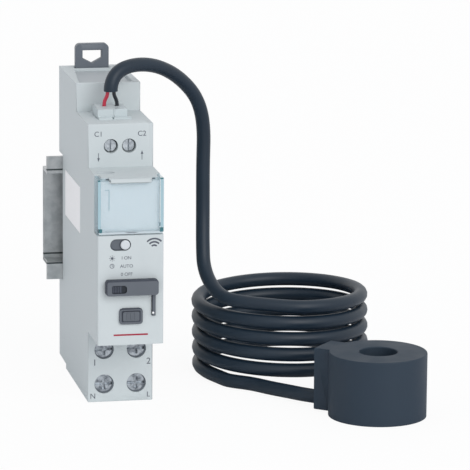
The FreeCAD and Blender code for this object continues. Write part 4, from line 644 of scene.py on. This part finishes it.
# The toggle: a rim of painted shade round the pill, and a round knob with a skirt of painted shade that
# slides along it
plate("toggle_rim", [
    rounded(-5.6, 44.9, 0.2, 48.3, 1.7), rounded(-5.3, 45.16, -0.1, 48.02, 1.42),
], PILL_FACE, painted_shade_dark, thick=0.04)
knob = lathed("toggle_cap", [
    (0.95, -60.32), (1.12, -60.28), (1.24, -60.17), (1.28, -60.0), (1.28, -59.85), (1.0, -59.75),
    (1.0, -59.56),
], KNOB_X, PILL_Z, knob_white, body_of("toggle_knob"))
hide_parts("toggle_knob")
lathed("toggle_cap_skirt", [(1.42, -59.64), (1.42, -59.57)], KNOB_X, PILL_Z, painted_shade_dark,
       body_of("toggle_knob"))

# The window: a pale frame round the label card and a rib in painted edge light, both behind its front wall
plate("window_frame", [box(-7.8, 49.6, 7.8, 63.45), box(-7.4, 51.95, 7.4, 63.15)], WINDOW_INSIDE,
      label_white, "window", 0.05)
plate("window_rib", [[
    (-6.7, 61.25), (-6.7, 61.11), (-5.67, 61.11), (-5.67, 55.6), (-5.53, 55.6), (-5.53, 61.25),
]], WINDOW_INSIDE, painted_edge_light, "window", 0.05)
# The ends of its side walls and its lower lip in painted light, and its upper corners in painted shade
for name, outline, material in (
    ("cheek_left", rounded(-8.75, 51.05, -8.05, 63.7, 0.15), painted_edge_light),
    ("cheek_right", rounded(7.95, 51.1, 8.78, 63.9, 0.15), painted_edge_light),
    ("corner_top_left", rounded(-8.75, 63.72, -8.1, 64.08, 0.05), painted_corner_shade),
    ("corner_top_right", rounded(7.8, 63.95, 8.75, 64.38, 0.1), painted_corner_shade),
    ("window_lip", rounded(-8.55, 49.5, 8.6, 50.05, 0.1), painted_lip_light),
):
    plate(name, [outline], NOSE_FACE, material, "window", 0.02)
# Painted shade along the lower right side of each deep screw well
for name, x, z in LARGE_SCREWS:
    plate("well_shade_" + name, [disc(x, z, 2.62, 40), disc(x - 0.14, z + 0.16, 2.4, 40)], SCREW_WELL,
          well_shade, thick=0.04)
# The window's pale finger ledge with painted shade under it, release nicks and a nail notch filled with
# painted shade, and two lower corners in painted shade
plate("ledge_face", [rounded(-5.3, 63.3, 5.3, 64.3, 0.1)], NOSE_FACE, case_grey, "window", 0.04)
plate("ledge_shade", [box(-5.35, 63.16, 5.35, 63.32)], NOSE_FACE, ledge_shade, "window", 0.05)
plate("nick_left", [[(-6.8, 64.08), (-5.85, 64.08), (-5.95, 64.38), (-6.7, 64.38)]], NOSE_FACE, painted_shade_dark,
      "window")
plate("nick_right", [[(5.65, 64.12), (6.55, 64.12), (6.45, 64.42), (5.75, 64.42)]], NOSE_FACE, painted_shade_dark,
      "window")
plate("nail_notch", [[(-1.75, 49.9), (-0.7, 49.74), (1.1, 49.74), (2.15, 49.9), (1.1, 50.0), (-0.7, 50.0)]],
      NOSE_FACE, notch_shade, "window")
plate("corner_left", [rounded(-8.4, 49.95, -7.65, 51.0, 0.1)], NOSE_FACE, painted_corner_shade, "window")
plate("corner_right", [rounded(7.8, 49.85, 8.78, 51.05, 0.1)], NOSE_FACE, painted_corner_shade, "window")


# Repeats, grown from rules
def new_rule(name, sizes):
    """A node group with named size inputs; returns the tree and the sockets that carry them."""
    tree = bpy.data.node_groups.new(name, "GeometryNodeTree")
    tree.interface.new_socket("Geometry", in_out="INPUT", socket_type="NodeSocketGeometry")
    tree.interface.new_socket("Geometry", in_out="OUTPUT", socket_type="NodeSocketGeometry")
    for label, value in sizes.items():
        kind = "NodeSocketInt" if isinstance(value, int) else "NodeSocketFloat"
        tree.interface.new_socket(label, in_out="INPUT", socket_type=kind)
    entry = add(tree, "NodeGroupInput")
    return tree, {label: entry.outputs[label] for label in sizes}


def close_rule(tree, geometry, material):
    """End a tree in real geometry with its finish."""
    real = add(tree, "GeometryNodeRealizeInstances", {0: geometry})
    dressed = add(tree, "GeometryNodeSetMaterial", {"Geometry": real.outputs[0], "Material": material})
    add(tree, "NodeGroupOutput", {0: dressed.outputs[0]})
    return tree


def grow(name, rule, sizes, matrix, material, body):
    """Run a rule once and keep its result as a plain mesh."""
    tree = rule(sizes, material)
    source = bpy.data.objects.new(name + "_seed", bpy.data.meshes.new(name + "_seed"))
    growth = source.modifiers.new("rule", "NODES")
    growth.node_group = tree
    for item in tree.interface.items_tree:
        if item.in_out == "INPUT" and item.name in sizes:
            growth[item.identifier] = sizes[item.name]
    bpy.context.scene.collection.objects.link(source)
    return flatten(name, source, matrix, material, body)


def arcs_rule(sizes, material):
    """Concentric arcs drawn with a flat pen, such as a radio sign."""
    tree, size = new_rule("radio_arcs", sizes)
    line = add(tree, "GeometryNodeMeshLine", {"Count": size["Arcs"], "Offset": (0.0, 0.0, 0.0)})
    index = add(tree, "GeometryNodeInputIndex")
    radius = add(tree, "ShaderNodeMath", {0: index.outputs[0], 1: size["Step"], 2: size["First radius"]},
                 operation="MULTIPLY_ADD")
    start = add(tree, "ShaderNodeMath", {0: math.pi / 2, 1: size["Half sweep"]}, operation="SUBTRACT")
    sweep = add(tree, "ShaderNodeMath", {0: size["Half sweep"], 1: 2.0}, operation="MULTIPLY")
    arc = add(tree, "GeometryNodeCurveArc", {
        "Resolution": 24, "Radius": 1.0, "Start Angle": start.outputs[0], "Sweep Angle": sweep.outputs[0],
    })
    spread = add(tree, "GeometryNodeInstanceOnPoints", {
        "Points": line.outputs[0], "Instance": arc.outputs[0], "Scale": radius.outputs[0],
    })
    drawn = add(tree, "GeometryNodeRealizeInstances", {0: spread.outputs[0]})
    pen = add(tree, "GeometryNodeCurvePrimitiveQuadrilateral", {
        "Width": size["Line width"], "Height": INK_THICK * MM,
    })
    swept = add(tree, "GeometryNodeCurveToMesh", {
        "Curve": drawn.outputs[0], "Profile Curve": pen.outputs[0], "Fill Caps": True,
    })
    return close_rule(tree, swept.outputs[0], material)


def rays_rule(sizes, material):
    """Short bars round a disc, such as a sun sign."""
    tree, size = new_rule("sun_rays", sizes)
    ring = add(tree, "GeometryNodeMeshCircle", {"Vertices": size["Rays"], "Radius": size["Ring radius"]})
    index = add(tree, "GeometryNodeInputIndex")
    step = add(tree, "ShaderNodeMath", {0: math.tau, 1: size["Rays"]}, operation="DIVIDE")
    turn = add(tree, "ShaderNodeMath", {0: index.outputs[0], 1: step.outputs[0]}, operation="MULTIPLY")
    spin = add(tree, "ShaderNodeCombineXYZ", {"Z": turn.outputs[0]})
    bar_size = add(tree, "ShaderNodeCombineXYZ", {
        "X": size["Ray length"], "Y": size["Ray width"], "Z": INK_THICK * MM,
    })
    bar = add(tree, "GeometryNodeMeshCube", {"Size": bar_size.outputs[0]})
    rays = add(tree, "GeometryNodeInstanceOnPoints", {
        "Points": ring.outputs[0], "Instance": bar.outputs[0], "Rotation": spin.outputs[0],
    })
    middle = add(tree, "GeometryNodeMeshCylinder", {
        "Vertices": 20, "Radius": size["Disc radius"], "Depth": INK_THICK * MM,
    })
    both = add(tree, "GeometryNodeJoinGeometry", {0: rays.outputs[0]})
    tree.links.new(middle.outputs[0], both.inputs[0])
    return close_rule(tree, both.outputs[0], material)


def ribs_rule(sizes, material):
    """Equal ribs side by side along X, centred on the origin."""
    tree, size = new_rule("rib_row", sizes)
    gaps = add(tree, "ShaderNodeMath", {0: size["Ribs"], 1: 1.0}, operation="SUBTRACT")
    reach = add(tree, "ShaderNodeMath", {0: gaps.outputs[0], 1: size["Pitch"]}, operation="MULTIPLY")
    first = add(tree, "ShaderNodeMath", {0: reach.outputs[0], 1: -0.5}, operation="MULTIPLY")
    start = add(tree, "ShaderNodeCombineXYZ", {"X": first.outputs[0]})
    stride = add(tree, "ShaderNodeCombineXYZ", {"X": size["Pitch"]})
    row = add(tree, "GeometryNodeMeshLine", {
        "Count": size["Ribs"], "Start Location": start.outputs[0], "Offset": stride.outputs[0],
    })
    rib_size = add(tree, "ShaderNodeCombineXYZ", {
        "X": size["Width"], "Y": size["Length"], "Z": size["Height"],
    })
    rib = add(tree, "GeometryNodeMeshCube", {"Size": rib_size.outputs[0]})
    ribs = add(tree, "GeometryNodeInstanceOnPoints", {"Points": row.outputs[0], "Instance": rib.outputs[0]})
    return close_rule(tree, ribs.outputs[0], material)


grow("radio_sign", arcs_rule, {
    "Arcs": 3, "First radius": 0.9 * MM, "Step": 0.88 * MM, "Half sweep": math.radians(46),
    "Line width": 0.44 * MM,
}, on_face(6.3, NOSE_FACE, 45.4), mark_ink, "housing")
grow("sun_sign", rays_rule, {
    "Rays": 8, "Ring radius": 0.66 * MM, "Ray length": 0.3 * MM, "Ray width": 0.12 * MM,
    "Disc radius": 0.36 * MM,
}, on_face(-4.95, NOSE_FACE, 43.06), mark_ink, "housing")
# The ribs in the bar's window are painted in half shade
grow("bar_grip_ribs", ribs_rule, {
    "Ribs": 4, "Pitch": 0.6 * MM, "Width": 0.24 * MM, "Length": 1.7 * MM, "Height": 0.2 * MM,
}, on_face(-4.0, -61.8, 35.0, 0.1), painted_half_shade, "selector")


# Cord: its exit from the block, and the lead's points from there down to the coil
CORD_EXIT = (-0.6, -31.6, 82.9)
LEAD = [
    CORD_EXIT, (-0.6, -31.6, 84.8), (1.0, -30.6, 87.6), (4.4, -28.6, 89.1), (9.7, -25.5, 89.1),
    (15.3, -22.0, 87.4), (21.0, -18.6, 83.7), (26.3, -15.5, 77.7), (28.5, -14.0, 69.9), (28.2, -14.2, 58.5),
    (28.2, -14.6, 45.9), (27.7, -17.1, 37.4), (27.4, -20.3, 30.1), (29.5, -27.6, 25.2), (33.0, -33.4, 24.0),
]
COIL_MIDDLE = (49.67, -16.5)
COIL_RADIUS = 22.65
COIL_START = math.radians(-100.0)
COIL_TURNS = 4.842
COIL_HIGH = 23.2
COIL_LOW = CORD_THICK / 2 + 0.25
COIL_LEAN = 0.4
POINTS_A_TURN = 24
# The sensor ring: its middle, how far its neck reaches, the cord's level in it and the way that it looks
RING = (65.2, -69.8)
NECK_REACH = 16.6
NECK_LEVEL = 2.7
NECK_TURN = math.radians(140.3)


def coil_points():
    """Control points whose spline runs at the coil's radius, level by level down to the floor."""
    total = COIL_TURNS * math.tau
    count = round(COIL_TURNS * POINTS_A_TURN)
    step = total / count
    outer = COIL_RADIUS / math.cos(step / 2)
    points = []
    for index in range(count):
        angle = step * (index + 0.5)
        turned = COIL_START + angle
        points.append((COIL_MIDDLE[0] + outer * math.cos(turned),
                       COIL_MIDDLE[1] - COIL_LEAN * angle / math.tau + outer * math.sin(turned),
                       COIL_HIGH + (COIL_LOW - COIL_HIGH) * angle / total))
    return points


def tail_points():
    """From the coil's last turn along the floor and straight into the ring's neck."""
    end = COIL_TURNS * math.tau
    turned = COIL_START + end
    way = Vector((-COIL_RADIUS * math.sin(turned), COIL_RADIUS * math.cos(turned) - COIL_LEAN / math.tau,
                  (COIL_LOW - COIL_HIGH) / end)).normalized()
    last = Vector((COIL_MIDDLE[0] + COIL_RADIUS * math.cos(turned),
                   COIL_MIDDLE[1] - COIL_LEAN * COIL_TURNS + COIL_RADIUS * math.sin(turned), COIL_LOW))
    neck = Vector((math.cos(NECK_TURN), math.sin(NECK_TURN), 0))
    face = Vector((*RING, NECK_LEVEL)) + neck * NECK_REACH
    return [tuple(last + way * 3.85), tuple(last + way * 7.65), (37.4, -38.4, 1.95), (41.4, -44.6, 2.05),
            (45.2, -50.2, 2.35), tuple(face + neck * 5.0), tuple(face)]


def lay_cord():
    """One smooth sheathed cord from the plug block to the sensor ring."""
    curve = bpy.data.curves.new("sheathed_cord", "CURVE")
    curve.dimensions = "3D"
    spline = curve.splines.new("NURBS")
    points = LEAD + coil_points() + tail_points()
    spline.points.add(len(points) - 1)
    for point, place in zip(spline.points, points):
        point.co = (*at(*place), 1.0)
    spline.order_u = 3
    spline.use_endpoint_u = True
    spline.resolution_u = 6
    curve.bevel_depth = CORD_THICK / 2 * MM
    curve.bevel_resolution = 5
    curve.use_fill_caps = True
    curve.materials.append(sheath_pvc)
    cord = bpy.data.objects.new("sheathed_cord", curve)
    bpy.context.scene.collection.objects.link(cord)
    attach(cord, "housing")
    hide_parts("cord_lead", "cord_coil", "cord_tail")
    return cord


cord = lay_cord()
ring = eased("torus_housing", 0.35, lambda middle, along: middle.z > 0.3 * MM, shortest=0.1, segments=3,
             join=False)


# Studio
def studio_floor():
    """A pale floor that runs out to white, and keeps a faint shadow under the object."""
    reach = 4.0
    drop = 0.05
    white_share = 0.93
    material, out = new_finish("white_paper_sweep")
    tree = material.node_tree
    eye = add(tree, "ShaderNodeLightPath").outputs["Is Camera Ray"]
    paper = add(tree, "ShaderNodeBsdfDiffuse", {"Color": linear("#FFFFFF")})
    glow = add(tree, "ShaderNodeEmission", {"Color": linear("#FFFFFF"), "Strength": 1.0})
    share = add(tree, "ShaderNodeMath", {0: eye, 1: white_share}, operation="MULTIPLY")
    mixed = add(tree, "ShaderNodeMixShader", {0: share.outputs[0], 1: paper.outputs[0], 2: glow.outputs[0]})
    tree.links.new(mixed.outputs[0], out.inputs["Surface"])
    mesh = bpy.data.meshes.new("floor")
    corners = [(-reach, -reach, 0), (reach, -reach, 0), (reach, reach, 0), (-reach, reach, 0)]
    mesh.from_pydata(corners, [], [(0, 1, 2, 3)])
    mesh.materials.append(material)
    floor = bpy.data.objects.new("floor", mesh)
    floor.location.z = -drop * MM
    bpy.context.scene.collection.objects.link(floor)


def studio_air():
    """A white surround for the eye and for gloss, and a plainer fill for the rest."""
    world = bpy.data.worlds.new("studio")
    bpy.context.scene.world = world
    world.use_nodes = True
    tree = world.node_tree
    tree.nodes.clear()
    path = add(tree, "ShaderNodeLightPath")
    seen = path.outputs["Is Camera Ray"]
    for ray in ("Is Glossy Ray", "Is Transmission Ray"):
        seen = add(tree, "ShaderNodeMath", {0: seen, 1: path.outputs[ray]}, operation="MAXIMUM").outputs[0]
    fill = add(tree, "ShaderNodeBackground", {"Color": linear("#F9FAFF"), "Strength": 0.66})
    white = add(tree, "ShaderNodeBackground", {"Color": linear("#FFFFFF"), "Strength": 1.0})
    mixed = add(tree, "ShaderNodeMixShader", {0: seen, 1: fill.outputs[0], 2: white.outputs[0]})
    out = add(tree, "ShaderNodeOutputWorld")
    tree.links.new(mixed.outputs[0], out.inputs["Surface"])


def studio_lamp(name, towards, strength, spread):
    """A broad lamp far away, from the given direction."""
    light = bpy.data.lights.new(name, "SUN")
    light.energy = strength
    light.angle = math.radians(spread)
    lamp = bpy.data.objects.new(name, light)
    lamp.rotation_euler = Vector(towards).to_track_quat("Z", "Y").to_euler()
    bpy.context.scene.collection.objects.link(lamp)


def studio_camera():
    """The eye of the photograph: a long lens from the front left, a little above."""
    photo_wide = 470
    focal_pixels = 3672
    distance = 1026.7
    turn, tilt, roll = math.radians(-11.57), math.radians(11.86), math.radians(0.47)
    back = Vector((math.sin(turn) * math.cos(tilt), -math.cos(turn) * math.cos(tilt), math.sin(tilt)))
    right = Vector((math.cos(turn), math.sin(turn), 0))
    up = back.cross(right)
    side = right * math.cos(roll) + up * math.sin(roll)
    crown = up * math.cos(roll) - right * math.sin(roll)
    target = Vector((0, 0, 41.5)) + right * 39.5 + up * -4.3
    eye = bpy.data.cameras.new("camera")
    eye.sensor_width = 36.0
    eye.sensor_fit = "HORIZONTAL"
    eye.lens = focal_pixels / photo_wide * eye.sensor_width
    eye.clip_start = 0.05
    eye.clip_end = 20.0
    camera = bpy.data.objects.new("camera", eye)
    matrix = Matrix((side, crown, back)).transposed().to_4x4()
    matrix.translation = at(*(target + back * distance))
    camera.matrix_world = matrix
    bpy.context.scene.collection.objects.link(camera)
    bpy.context.scene.camera = camera


studio_floor()
studio_air()
studio_lamp("key", (0.30, -0.85, 0.48), 1.2, 45)
studio_camera()
bpy.context.scene.view_settings.view_transform = "Standard"
